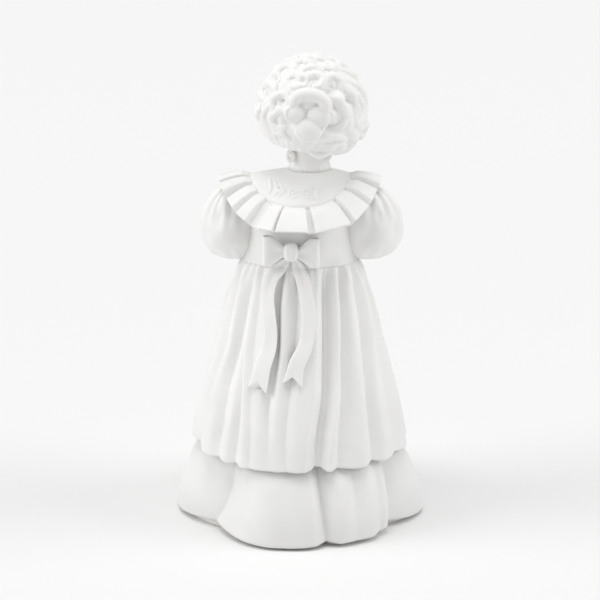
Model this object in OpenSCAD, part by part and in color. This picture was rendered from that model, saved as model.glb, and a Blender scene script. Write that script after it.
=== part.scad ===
// Bisque porcelain figurine of a girl standing in a long gown. She is made of hollow slip castings
// and hand-formed trims, luted together with slip and fired once. She stands on z = 0 and faces +Y,
// so +X is her right. Azimuth 0 is the middle of her back and grows towards +X.

/* [Gown] */
// Radius of the flounce at the floor, over its lobes
hem_r = 46.2; // [44:0.1:48]
// Height of the waist seam
waist_z = 96.5; // [94:0.5:99]
// Height of the overskirt's free hem
overskirt_hem_z = 27.5; // [26:0.5:29]
// Depth of the valleys between the flounce's lobes, against the usual depth
flounce_depth = 1; // [0.6:0.05:1.1]
// How far the overskirt's folds stand out at half height
fold_depth = 2.4; // [1.5:0.1:2.6]
// Depth of the waist as a share of its width
waist_depth = 0.82; // [0.78:0.01:0.88]

/* [Bodice and collar] */
// Half width of the bodice at the waist
bodice_w = 20.5; // [19.5:0.1:21]
// Radius of the yoke's rim, from side to side
yoke_rx = 18.5; // [18:0.1:19]
// Radius of the yoke's rim, from front to back
yoke_ry = 18.8; // [18.2:0.1:19.2]
// Height of the neck opening
neck_z = 129; // [128:0.5:130]
// Number of box pleats round the collar
ruffle_pleats = 11; // [10:1:14]

/* [Sleeves and arms] */
// Half width of a puffed sleeve
sleeve_w = 10.4; // [9.8:0.1:10.8]
// Radius of a forearm at the elbow
forearm_r = 3.7; // [3.4:0.1:3.9]

/* [Head and hair] */
// Tilt of the head towards her right shoulder, in degrees
head_tilt = 10; // [6:1:12]
// Radius of the neck
neck_r = 7.2; // [6.8:0.1:7.4]
// Radius of the hair under its curls
hair_r = 18.6; // [18.2:0.1:19]
// Number of applied curls
curl_count = 62; // [50:1:66]

/* [Bow] */
// Width of the ribbon
ribbon_w = 4.6; // [4:0.1:5.2]
// Thickness of the ribbon
ribbon_t = 1.4; // [1.2:0.1:1.6]

/* [Casting] */
// Wall of the gown's hollow castings
wall = 2.6; // [2.2:0.1:2.8]
// Gap left for slip between two castings
slip_gap = 0.15; // [0.1:0.05:0.2]
// Diameter of the vent hole through the floor
vent_d = 3; // [2:0.5:3.5]

/* [Hidden] */

bisque = [0.95, 0.945, 0.93];
skirt_sides = 72;
body_sides = 48;
foot_lift = 1;
foot_t = 3.5;

// Crests and valleys of the flounce in turn: azimuth, and how far in from hem_r the hem runs there
flounce_turns = [
    [-92, 0], [-55, 7.4], [-8, 0], [11, 3], [25, 1.2], [52, 6], [84, 0], [112, 5], [132, 0.5],
    [152, 4.2], [170, 0.3], [190, 4.6], [208, 0.4], [226, 4.4], [246, 0.6], [257, 2.6], [268, 0]
];
// Valleys between the overskirt's folds: azimuth at the waist and at the hem
fold_valleys = [
    [-96, -88], [-62, -50], [-38, -27], [-8, -10], [23, 8], [43, 23], [70, 45],
    [96, 72], [122, 98], [146, 124], [170, 149], [195, 174], [219, 200], [242, 226], [253, 250]
];

// Crest radius of the flounce and of the plain cone above it, as shares of hem_r by share of waist_z
core_profile = [
    [0, 1], [0.11, 0.965], [0.2, 0.9], [0.255, 0.845], [0.29, 0.785], [0.35, 0.735], [0.65, 0.575], [1, 0.39]
];
// Crest radius of the overskirt, in the same shares
gown_profile = [
    [0.28, 0.878], [0.43, 0.815], [0.67, 0.685], [0.83, 0.6], [0.94, 0.515], [0.985, 0.49], [1, 0.465]
];
flounce_depth_profile = [[0, 1], [0.2, 0.5], [0.29, 0.2], [0.35, 0]];
fold_depth_profile = [[0.28, 0.8], [0.5, 1], [0.8, 0.9], [0.95, 0.6], [1, 0.2]];

neck_x = 3.4;
head_centre = [4.2, 0.5, 150.6];
skull_at = [0, 1, 0.6];
skull_r = 14.2;
hair_centre = [0, -1.5, 0];
spigot_r = 5.4;
spigot_l = 6;
knot_at = [-3.2, -19.3, 102.6];

// ---- curves shared by several pieces ----

function wrap360(a) = a - 360 * floor(a / 360);

// Height between two valleys at azimuth a: 0 in a valley, 1 on the crest between two
function lobe(a, valleys) =
    let(
        n = len(valleys),
        shares = [
            for (i = [0 : n - 1])
                let(w = wrap360(valleys[(i + 1) % n] - valleys[i]), d = wrap360(a - valleys[i]))
                if (d < w) d / w
        ]
    )
    pow(max(0, sin(180 * (len(shares) > 0 ? shares[0] : 0))), 0.75);

function depth_share(z) = 1 - (1 - waist_depth) * pow(min(1, max(0, z / waist_z)), 1.5);

function core_r(z) = hem_r * lookup(z / waist_z, core_profile);

// How far in from hem_r the hem runs at azimuth a, eased from each turn to the next
function valley_depth(a) =
    let(
        n = len(flounce_turns),
        depths = [
            for (i = [0 : n - 2])
                let(
                    here = flounce_turns[i],
                    next = flounce_turns[i + 1],
                    share = wrap360(a - here[0]) / (next[0] - here[0])
                )
                if (share < 1) here[1] + (next[1] - here[1]) * (0.5 - 0.5 * cos(180 * share))
        ]
    )
    flounce_depth * (len(depths) > 0 ? depths[0] : 0);

function flounce_r(z, a) = core_r(z) - lookup(z / waist_z, flounce_depth_profile) * valley_depth(a);

function valleys_at(z) = [
    for (v = fold_valleys)
        let(share = (waist_z - z) / (waist_z - overskirt_hem_z)) v[0] + (v[1] - v[0]) * share
];

function gown_crest(z) = hem_r * lookup(z / waist_z, gown_profile);

function gown_r(z, a) =
    gown_crest(z) - fold_depth * lookup(z / waist_z, fold_depth_profile) * (1 - lobe(a, valleys_at(z)));

// Back of the gown at x, over its folds
function gown_back(x, z) = -depth_share(z) * sqrt(max(0, pow(gown_crest(z), 2) - x * x));

// Heights of the yoke's rim and of the collar's outer edge: highest on the shoulders
function rim_z(a) = 119.2 + (a > 90 && a < 270 ? -1.5 : 0) * abs(cos(a)) + 8 * pow(abs(sin(a)), 3);
function rim_at(a) = [yoke_rx * sin(a), -yoke_ry * cos(a), rim_z(a)];
function neck_at(a) = [neck_x + neck_r * sin(a), -neck_r * cos(a), neck_z];
function edge_z(a) = 110.9 + 13.6 * pow(abs(sin(a)), 4);

// A point on the yoke's top, from 0 at the neck to 1 at the rim
function yoke_at(share, a) =
    let(n = neck_at(a), m = rim_at(a))
    [n[0] + (m[0] - n[0]) * share, n[1] + (m[1] - n[1]) * share, n[2] + (m[2] - n[2]) * pow(share, 1.25)];

// ---- mesh helpers ----

function ring(z, radius, sides, depth = 1, shift = [0, 0]) = [
    for (j = [0 : sides - 1])
        let(a = 360 * j / sides, r = radius(a))
        [shift[0] + r * sin(a), shift[1] - r * cos(a) * depth, z]
];

// Skins rings of equal count, each running the same way round, up the outside.
// A closed skin runs back down the inside to its first ring.
module skin(rings, closed = false) {
    n = len(rings[0]);
    m = len(rings);
    sides = [
        for (i = [0 : (closed ? m - 1 : m - 2)])
            for (j = [0 : n - 1])
                let(
                    a = i * n + j,
                    b = i * n + (j + 1) % n,
                    c = ((i + 1) % m) * n + (j + 1) % n,
                    d = ((i + 1) % m) * n + j
                )
                each [[a, d, c], [a, c, b]]
    ];
    ends = [
        [for (j = [0 : n - 1]) j],
        [for (j = [n - 1 : -1 : 0]) (m - 1) * n + j]
    ];
    polyhedron(
        points = [for (r = rings) each r],
        faces = closed ? sides : concat(sides, ends),
        convexity = 8
    );
}

// Puts head-local geometry on the tilted head
module on_head() {
    translate(head_centre) rotate([0, head_tilt, 0]) children();
}

// ---- gown ----

module foot_plate() {
    inset = wall + slip_gap;
    color(bisque)
        difference() {
            linear_extrude(foot_t)
                polygon([
                    for (j = [0 : skirt_sides - 1])
                        let(a = 360 * j / skirt_sides, r = flounce_r(foot_t + 3, a) - inset)
                        [r * sin(a), -r * cos(a)]
                ]);
            translate([0, 14, -1]) cylinder(d = vent_d, h = foot_t + 2, $fn = 32);
        }
}

module underskirt() {
    outer_z = [10, 19, 24, 28, 34, 62, waist_z - 1];
    inner_z = [waist_z - 1, 62, 34, 27, 19, 10];
    // the hem, lifted off the table in its valleys
    function hem_ring(inset) = [
        for (j = [0 : skirt_sides - 1])
            let(a = 360 * j / skirt_sides, z = foot_lift + 0.3 * valley_depth(a), r = flounce_r(foot_lift, a) - inset)
            [r * sin(a), -r * cos(a), z]
    ];
    color(bisque)
        skin(concat(
            [hem_ring(0)],
            [for (z = outer_z) ring(z, function(a) flounce_r(z, a), skirt_sides, depth_share(z))],
            [for (z = inner_z) ring(z, function(a) flounce_r(z, a) - wall, skirt_sides, depth_share(z))],
            [hem_ring(wall)]
        ), closed = true);
}

module overskirt() {
    top_z = waist_z - slip_gap;
    outer_z = [overskirt_hem_z, 36, 46, 58, 70, 82, 90, 94.5, top_z];
    inner_z = [top_z, 76, 52, 36, overskirt_hem_z];
    hem_wall = 1.6;
    function lining_r(z, a) =
        max(core_r(z) + slip_gap * 2, z < 40 ? gown_r(z, a) - hem_wall : 0);
    color(bisque)
        skin(concat(
            [for (z = outer_z) ring(z, function(a) gown_r(z, a), skirt_sides, depth_share(z))],
            [for (z = inner_z) ring(z, function(a) lining_r(z, a), skirt_sides, depth_share(z))]
        ), closed = true);
}

// ---- bodice and collar ----

yoke_t = 1.8;
bodice_share = [0.8, 0.68];

// Ring of the bodice: half width w and half depth d at height z, or under the yoke where z is undef
function bodice_ring(z, w, d) = [
    for (j = [0 : body_sides - 1])
        let(a = 360 * j / body_sides) [w * sin(a), -d * cos(a), z]
];
function under_yoke(share) = [
    for (j = [0 : body_sides - 1])
        let(p = yoke_at(share, 360 * j / body_sides)) [p[0], p[1], p[2] - yoke_t - slip_gap]
];

// Outside of the bodice, which the sleeves are luted to
function bodice_outside() = [
    bodice_ring(waist_z, bodice_w, bodice_w * 0.83),
    bodice_ring(104, bodice_w - 0.6, 16.6),
    bodice_ring(112, bodice_w - 1.6, 16.2),
    under_yoke(bodice_share[0])
];

module bodice() {
    color(bisque)
        skin(concat(
            bodice_outside(),
            [
                under_yoke(bodice_share[1]),
                bodice_ring(112, bodice_w - 1.6 - wall, 16.2 - wall),
                bodice_ring(waist_z, bodice_w - wall - 1.2, bodice_w * 0.83 - wall - 1.2)
            ]
        ), closed = true);
}

module yoke() {
    function layer(share, drop) = [
        for (j = [0 : body_sides - 1])
            let(p = yoke_at(share, 360 * j / body_sides)) [p[0], p[1], p[2] - drop]
    ];
    color(bisque)
        difference() {
            skin([
                for (s = [0, 0.33, 0.67, 1]) layer(1 - s, 0),
                for (s = [0, 0.33, 0.67, 1]) layer(s, yoke_t)
            ], closed = true);
            translate([neck_x, 0, neck_z - 6]) cylinder(r = spigot_r + 0.05, h = 12, $fn = 64);
        }
}

module collar_ruffle() {
    ruffle_t = 1.3;
    sides = ruffle_pleats * 8;
    // +1 on a panel, -1 in the gap between two
    function wave(a) = min(1, max(-1, 3 * cos(ruffle_pleats * (a + 7)) + 1.2));
    // s runs down the band from the yoke's rim to the free edge, up is the lift off the band
    function band_at(a, s, up) =
        let(
            flat = yoke_rx + 0.4 + (28.2 - yoke_rx) * s,
            deep = yoke_ry + 0.4 + (24.6 - yoke_ry) * s,
            z = rim_z(a) - 0.4 + (edge_z(a) - rim_z(a)) * s,
            lift = up + (0.25 + 0.75 * s) * wave(a),
            out = 0.75 - 0.45 * pow(abs(sin(a)), 2)
        )
        [(flat + lift * out) * sin(a), -(deep + lift * out) * cos(a), z + lift * (1 - out)];
    function band_ring(s, up) = [for (j = [0 : sides - 1]) band_at(360 * j / sides, s, up)];
    color(bisque)
        skin([
            band_ring(1, 0), band_ring(1, ruffle_t), band_ring(0.5, ruffle_t), band_ring(0, ruffle_t),
            band_ring(0, 0), band_ring(0.5, 0)
        ], closed = true);
}

// ---- sleeves, cuffs and arms: drawn for her right, mirrored for her left ----

elbow_at = [24.6, 9, 102];
wrist_at = [6.8, 25.5, 103];
arm_yaw = atan2(wrist_at[0] - elbow_at[0], -(wrist_at[1] - elbow_at[1]));
arm_l = norm(wrist_at - elbow_at);
arm_pitch = asin((wrist_at[2] - elbow_at[2]) / arm_l);

// Local +X runs down the forearm from the elbow
module along_arm() {
    translate(elbow_at)
        rotate([0, 0, atan2(wrist_at[1] - elbow_at[1], wrist_at[0] - elbow_at[0])])
            rotate([0, -arm_pitch, 0])
                children();
}

// Fuller makes a sleeve wider than the other
module right_sleeve(fuller) {
    // height, radius share, x and y of the centre
    rows = [
        [95.6, 0.42, 23.8, 4], [97.6, 0.74, 24.2, 3.6], [102.4, 0.97, 25, 2.8], [107.5, 1, 25.2, 2],
        [113, 0.95, 25, 1.4], [118, 0.8, 24.4, 0.8], [121.6, 0.48, 23.6, 0.4]
    ];
    difference() {
        skin([
            for (r = rows)
                ring(
                    r[0], function(a) (sleeve_w + fuller) * r[1] * (1 + 0.03 * cos(9 * a)), 36, 1.06,
                    [r[2] + fuller, r[3]]
                )
        ]);
        skin([for (r = bodice_outside()) [for (p = r) p + [sign(p[0]) * slip_gap, 0, 0]]]);
        along_arm() rotate([0, 90, 0]) translate([0, 0, -3]) cylinder(r = forearm_r + 0.05, h = 40, $fn = 48);
    }
}

module right_cuff() {
    along_arm()
        translate([6.4, 0, 0])
            rotate([0, 90, 0])
                difference() {
                    cylinder(r1 = forearm_r + 1.9, r2 = forearm_r + 1.3, h = 2.6, $fn = 48);
                    translate([0, 0, -1]) cylinder(r = forearm_r + 0.05, h = 6, $fn = 48);
                }
}

module right_forearm() {
    palm_r = 3.4;
    along_arm() {
        rotate([0, 90, 0]) translate([0, 0, -2.9]) cylinder(r = forearm_r, h = 13, $fn = 48);
        rotate([0, 90, 0]) translate([0, 0, 10.1]) cylinder(r1 = forearm_r, r2 = 2.6, h = arm_l - 10.1, $fn = 48);
        hull() {
            translate([arm_l, 0, 0]) sphere(r = 2.8, $fn = 28);
            translate([arm_l + 3.8, 0, 0.4]) sphere(r = palm_r, $fn = 28);
        }
    }
}

// ---- head and hair ----

// Skull and jaw as one turned egg: a ball at the skull, a smaller one at the chin, and the cone between
module egg(skull_r, chin_r, apart) {
    lean = acos((skull_r - chin_r) / apart);
    skull_arc = [for (i = [1 : 13]) let(a = 180 - (180 - lean) * i / 13) [skull_r * sin(a), skull_r * cos(a)]];
    chin_arc = [for (i = [0 : 5]) let(a = lean - lean * i / 6) [chin_r * sin(a), apart + chin_r * cos(a)]];
    rotate_extrude($fn = 96)
        polygon(concat([[0, -skull_r]], skull_arc, chin_arc, [[0, apart + chin_r]]));
}

module head() {
    color(bisque)
        difference() {
            union() {
                on_head() translate(skull_at) rotate([-149.5, 0, 0]) egg(skull_r, 5.2, 14.2);
                translate([neck_x, 0, neck_z]) cylinder(r = neck_r, h = 12, $fn = 64);
                translate([neck_x, 0, neck_z - spigot_l]) cylinder(r = spigot_r, h = spigot_l + 1, $fn = 64);
            }
            on_head() translate(skull_at) sphere(r = skull_r - 3.2, $fn = 48);
            translate([neck_x, 0, neck_z - spigot_l - 1]) cylinder(r = 1.6, h = 18, $fn = 32);
        }
}

module hair_cap() {
    color(bisque)
        on_head()
            difference() {
                translate(hair_centre) sphere(r = hair_r, $fn = 64);
                translate(skull_at) sphere(r = skull_r + slip_gap, $fn = 64);
                // opening for the face and throat
                translate([0, 19, -5.5]) cylinder(r = 12.6, h = 18, center = true, $fn = 64);
                translate([0, 10, -22]) cylinder(r = 12.6, h = 16, $fn = 64);
                // flat under the nape, where the neck comes in
                translate([-30, -30, -35]) cube([60, 60, 19.6]);
            }
}

// Curls on a golden-angle spiral, left off the face, the nape and the chignon
module hair_curls() {
    golden = 137.508;
    step = 1.62 / curl_count;
    curl_r = 1.9;
    rod_r = 1.35;
    color(bisque)
        on_head()
            difference() {
                for (i = [0 : curl_count - 1]) {
                    cos_polar = 1 - step * (i + 0.5);
                    polar = acos(cos_polar);
                    azimuth = wrap360(i * golden);
                    front = -cos(azimuth) * sin(polar);
                    back = cos(azimuth) * sin(polar);
                    on_face = front > 0.62 && cos_polar < 0.5;
                    on_chignon = back > 0.86;
                    if (!on_face && !on_chignon)
                        translate(hair_centre)
                            rotate([0, 0, azimuth - 90])
                                rotate([0, polar, 0])
                                    translate([0, 0, hair_r + 0.35])
                                        rotate([0, 0, i * 70])
                                            rotate_extrude(angle = 300, $fn = 24)
                                                translate([curl_r, 0]) circle(r = rod_r, $fn = 16);
                }
                translate(hair_centre) sphere(r = hair_r + 0.02, $fn = 64);
            }
}

// Four fat rolled curls set close together on the back of the head
module chignon() {
    // x, height and radius of each roll
    rolls = [[0.2, 5.4, 3.5], [-4, -0.5, 3.3], [4, -0.5, 3.4], [0, -6, 3.3]];
    edge_r = 1.9;
    color(bisque)
        on_head()
            difference() {
                for (r = rolls)
                    translate([r[0] - 0.6, -hair_r - 2, r[1] + 1.4])
                        rotate([90, 0, 0])
                            rotate_extrude($fn = 48)
                                intersection() {
                                    union() {
                                        translate([r[2] - edge_r, 0]) circle(r = edge_r, $fn = 32);
                                        translate([0, -edge_r]) square([r[2] - edge_r, 2 * edge_r]);
                                    }
                                    translate([0, -3]) square([5, 6]);
                                }
                translate(hair_centre) sphere(r = hair_r + 0.02, $fn = 64);
            }
}

// A curl hanging on each side of the neck, just under the hair
module nape_curls() {
    color(bisque)
        difference() {
            for (side = [-1, 1])
                translate([neck_x + side * 6.6, -5.2, 133.4])
                    rotate([90, 0, -side * 40])
                        rotate_extrude($fn = 48) translate([1.5, 0]) circle(r = 1, $fn = 24);
            translate([neck_x, 0, neck_z - 1]) cylinder(r = neck_r + 0.03, h = 14, $fn = 64);
            on_head() translate(hair_centre) sphere(r = hair_r + 0.03, $fn = 64);
        }
}

// ---- bow ----

module bow_knot() {
    color(bisque)
        translate(knot_at)
            rotate_extrude($fn = 48)
                intersection() {
                    translate([-2.2, 0]) circle(r = 4.4, $fn = 64);
                    translate([0, -3]) square([3, 6]);
                }
}

// A ribbon loop from the knot outwards, lying on the bodice: side is -1 for her left
module bow_loop(side, drop) {
    inner = [knot_at[0] + side * 3.9, -18.9, knot_at[2] - 2 - drop];
    outer = [knot_at[0] + side * 8.4, -18 + 0.09 * abs(knot_at[0] + side * 8.4), knot_at[2] - 4.6 - drop];
    color(bisque)
        difference() {
            hull() {
                translate(inner) cylinder(r = 1.5, h = 5, $fn = 24);
                translate(outer) cylinder(r = 2.4, h = 10.6, $fn = 24);
            }
            hull() {
                translate([inner[0] + side, inner[1], 90]) cylinder(r = 0.5, h = 25, $fn = 16);
                translate([outer[0], outer[1], 90]) cylinder(r = 1.2, h = 25, $fn = 16);
            }
            // off the bodice
            skin([bodice_outside()[0], bodice_outside()[1], bodice_outside()[2]]);
        }
}

// Strip laid down the back of the gown through points [x, z], widening to its end
module ribbon_tail(path) {
    last = len(path) - 1;
    function half_w(i) = ribbon_w / 2 * (0.75 + 0.25 * min(1, i / 3) + 0.3 * pow(i / last, 4));
    function section(i) =
        let(
            x = path[i][0],
            z = path[i][1],
            w = half_w(i),
            y = min(gown_back(x - w, z), gown_back(x, z), gown_back(x + w, z)) - 0.3
        )
        [[x - w, y, z], [x + w, y, z], [x + w, y - ribbon_t, z], [x - w, y - ribbon_t, z]];
    color(bisque) skin([for (i = [last : -1 : 0]) section(i)]);
}

left_tail_path = [
    [-4.6, 99.2], [-7, 96.6], [-10, 93], [-11.6, 87], [-11, 80.5], [-10.4, 74], [-11, 69], [-13, 63.5], [-15.2, 56]
];
right_tail_path = [
    [-1.8, 99.2], [-0.6, 96.6], [0.8, 93], [2.2, 87], [3.2, 80.5], [2.8, 74], [1.4, 69], [-1.1, 64], [-2.6, 58.5]
];

foot_plate();
underskirt();
overskirt();
bodice();
yoke();
collar_ruffle();
color(bisque) mirror([1, 0, 0]) right_sleeve(0);  // sleeve_left
color(bisque) right_sleeve(0.7);  // sleeve_right
color(bisque) mirror([1, 0, 0]) right_cuff();  // cuff_left
color(bisque) right_cuff();  // cuff_right
color(bisque) mirror([1, 0, 0]) right_forearm();  // forearm_left
color(bisque) right_forearm();  // forearm_right
head();
hair_cap();
hair_curls();
chignon();
nape_curls();
bow_knot();
bow_loop(-1, 0.2);  // bow_loop_left
bow_loop(1, 1);  // bow_loop_right
ribbon_tail(left_tail_path);  // ribbon_tail_left
ribbon_tail(right_tail_path);  // ribbon_tail_right
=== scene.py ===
import bisect
import functools
import math
import random
import bmesh
import bpy
import numpy as np
from mathutils import Euler, Matrix, Vector, noise


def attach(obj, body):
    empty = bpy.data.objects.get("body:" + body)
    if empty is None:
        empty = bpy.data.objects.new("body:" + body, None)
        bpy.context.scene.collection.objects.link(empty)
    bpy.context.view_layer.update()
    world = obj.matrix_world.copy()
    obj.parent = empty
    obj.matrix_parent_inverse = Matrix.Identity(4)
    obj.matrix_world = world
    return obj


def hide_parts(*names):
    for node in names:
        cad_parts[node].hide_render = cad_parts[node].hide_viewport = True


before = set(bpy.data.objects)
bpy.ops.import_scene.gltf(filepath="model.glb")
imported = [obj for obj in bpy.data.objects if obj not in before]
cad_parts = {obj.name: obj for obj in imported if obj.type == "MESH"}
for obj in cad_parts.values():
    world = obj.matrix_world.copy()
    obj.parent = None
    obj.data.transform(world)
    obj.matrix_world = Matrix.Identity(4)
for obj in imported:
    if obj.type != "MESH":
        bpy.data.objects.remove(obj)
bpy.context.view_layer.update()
print("frame loaded")

mm = 0.001
body = "root"

# A smooth curve through points, read at one place
def through(place, places, values):
    if place <= places[0]:
        return values[0]
    if place >= places[-1]:
        return values[-1]
    i = bisect.bisect_right(places, place) - 1
    gap = places[i + 1] - places[i]
    share = (place - places[i]) / gap

    def slope(k):
        low, high = max(0, k - 1), min(len(places) - 1, k + 1)
        return (values[high] - values[low]) / (places[high] - places[low])

    a, b = slope(i) * gap, slope(i + 1) * gap
    s2, s3 = share * share, share * share * share
    return (
        (2 * s3 - 3 * s2 + 1) * values[i]
        + (s3 - 2 * s2 + share) * a
        + (3 * s2 - 2 * s3) * values[i + 1]
        + (s3 - s2) * b
    )


def eased(share):
    return 0.5 - 0.5 * math.cos(math.pi * min(1, max(0, share)))


def ramp(value, low, high):
    return eased((value - low) / (high - low))


# The crests and valleys met at one height: (azimuth, depth) pairs, the last one a turn after the first
def turnsAt(height, heights, turns):
    met = [(through(height, heights, where), through(height, heights, depth)) for where, depth in turns]
    met.append((met[0][0] + 360, met[0][1]))
    return met


# Depth between the crests and valleys met at one height
def depthAt(azimuth, met):
    while azimuth < met[0][0]:
        azimuth += 360
    while azimuth >= met[-1][0]:
        azimuth -= 360
    i = bisect.bisect_right([where for where, _ in met], azimuth) - 1
    i = min(max(i, 0), len(met) - 2)
    (a, depthA), (b, depthB) = met[i], met[i + 1]
    share = (azimuth - a) / (b - a)
    # crests are round and valleys narrow
    if depthB >= depthA:
        return depthA + (depthB - depthA) * (0.45 * eased(share) + 0.55 * share**2.2)
    return depthB + (depthA - depthB) * (0.45 * eased(1 - share) + 0.55 * (1 - share) ** 2.2)


# A tube of rows and steps: each vertex is placed by its row and its azimuth, 0 at her back and towards +X
def tube(rows, steps, place, closed=False):
    bm = bmesh.new()
    line = [bm.verts.new((0, -1, row)) for row in range(rows)]
    edges = [bm.edges.new(pair) for pair in zip(line, line[1:])]
    if closed:
        edges.append(bm.edges.new((line[-1], line[0])))
    bmesh.ops.spin(
        bm, geom=line + edges, axis=(0, 0, 1), cent=(0, 0, 0), dvec=(0, 0, 0),
        angle=2 * math.pi, steps=steps, use_merge=True,
    )
    for vert in bm.verts:
        vert.co = place(round(vert.co.z), math.degrees(math.atan2(vert.co.x, -vert.co.y)))
    bmesh.ops.remove_doubles(bm, verts=bm.verts, dist=0.0005)
    bmesh.ops.recalc_face_normals(bm, faces=bm.faces)
    return bm


# The edges that join a ring's own vertices
def ringEdges(ring):
    inRing = set(ring)
    touching = dict.fromkeys(edge for vert in ring for edge in vert.link_edges)
    return [edge for edge in touching if edge.verts[0] in inRing and edge.verts[1] in inRing]


# Extrudes a closed ring once, and returns the new ring in the same order
def growRing(bm, ring):
    index = {vert: i for i, vert in enumerate(ring)}
    fresh = {}
    for vert in bmesh.ops.extrude_edge_only(bm, edges=ringEdges(ring))["geom"]:
        if isinstance(vert, bmesh.types.BMVert):
            for edge in vert.link_edges:
                other = edge.other_vert(vert)
                if other in index:
                    fresh[index[other]] = vert
    return [fresh[i] for i in range(len(ring))]


# Adds a second mesh to a first
def addMesh(bm, more):
    mesh = bpy.data.meshes.new("more")
    more.to_mesh(mesh)
    more.free()
    bm.from_mesh(mesh)
    bpy.data.meshes.remove(mesh)


# A rod of varying radius along points, with rounded ends
def rod(bm, points, radii, sides=10, steps=None):
    steps = steps or len(points) * 4
    places = list(range(len(points)))
    ring = list(bmesh.ops.create_circle(bm, segments=sides, radius=1, cap_ends=False)["verts"])
    side = None
    rings = []
    for k in range(-2, steps + 3):
        share = min(1, max(0, k / steps)) * (len(points) - 1)
        here = Vector([through(share, places, [p[i] for p in points]) for i in range(3)])
        near = min(len(points) - 1, share + 0.05), max(0, share - 0.05)
        ahead = Vector([through(near[0], places, [p[i] for p in points]) for i in range(3)])
        back = Vector([through(near[1], places, [p[i] for p in points]) for i in range(3)])
        along = (ahead - back).normalized()
        radius = through(share, places, radii)
        if k < 0:
            here = here - along * radius * (0.62 if k == -1 else 0.95)
            radius *= 0.8 if k == -1 else 0.32
        if k > steps:
            here = here + along * radius * (0.62 if k == steps + 1 else 0.95)
            radius *= 0.8 if k == steps + 1 else 0.32
        if side is None:
            side = along.orthogonal().normalized()
        side = (side - along * side.dot(along)).normalized()
        rings.append((here, side.copy(), along.cross(side), radius))
    for k, (here, across, up, radius) in enumerate(rings):
        if k:
            ring = growRing(bm, ring)
        for i, v in enumerate(ring):
            a = 2 * math.pi * i / sides
            v.co = here + across * radius * math.cos(a) + up * radius * math.sin(a)
        if k in (0, len(rings) - 1):
            bmesh.ops.edgeloop_fill(bm, edges=ringEdges(ring))
    return bm


def ball(bm, centre, size, turn=(0, 0, 0), detail=3):
    made = bmesh.ops.create_icosphere(bm, subdivisions=detail, radius=1)["verts"]
    spin = Euler(turn).to_matrix()
    for vert in made:
        vert.co = spin @ (vert.co * Vector(size)) + Vector(centre)
    return made


# Makes the piece from a mesh in millimetres
def finish(name, bm, nodes, mat, modifiers=(), shape=None):
    bmesh.ops.scale(bm, vec=(mm, mm, mm), verts=bm.verts)
    mesh = bpy.data.meshes.new(name)
    bm.to_mesh(mesh)
    bm.free()
    piece = bpy.data.objects.new(name, mesh)
    bpy.context.scene.collection.objects.link(piece)
    for kind, values in modifiers:
        mod = piece.modifiers.new(kind, kind)
        for key, value in values.items():
            setattr(mod, key, value)
    if modifiers:
        graph = bpy.context.evaluated_depsgraph_get()
        solid = bpy.data.meshes.new_from_object(piece.evaluated_get(graph))
        piece.modifiers.clear()
        piece.data = solid
        solid.name = name
    if shape:  # a last sculpting pass, in millimetres
        for vert in piece.data.vertices:
            vert.co = shape(vert.co / mm) * mm
    piece.data.polygons.foreach_set("use_smooth", [True] * len(piece.data.polygons))
    piece.data.materials.clear()
    piece.data.materials.append(mat)
    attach(piece, body)
    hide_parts(*nodes)
    print("made", name, len(piece.data.polygons))
    return piece


# Settings that fuse loose shapes into one cast skin
def fuse(voxel, softening, rounds):
    return [
        ("REMESH", {"mode": "VOXEL", "voxel_size": voxel * mm, "adaptivity": 0}),
        ("SMOOTH", {"factor": softening, "iterations": rounds}),
    ]


bisque = {
    "mottleScale": 90.0,  # per metre
    "grainScale": 2600.0,
    "speckScale": 190.0,
}


# Adds a shader node: settings by name, and each socket's value or the output that feeds it
def addNode(tree, kind, sockets, **settings):
    node = tree.nodes.new("ShaderNode" + kind)
    for key, value in settings.items():
        setattr(node, key, value)
    for socket, value in sockets.items():
        if isinstance(value, bpy.types.NodeSocket):
            tree.links.new(value, node.inputs[socket])
        else:
            node.inputs[socket].default_value = value
    return node


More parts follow.
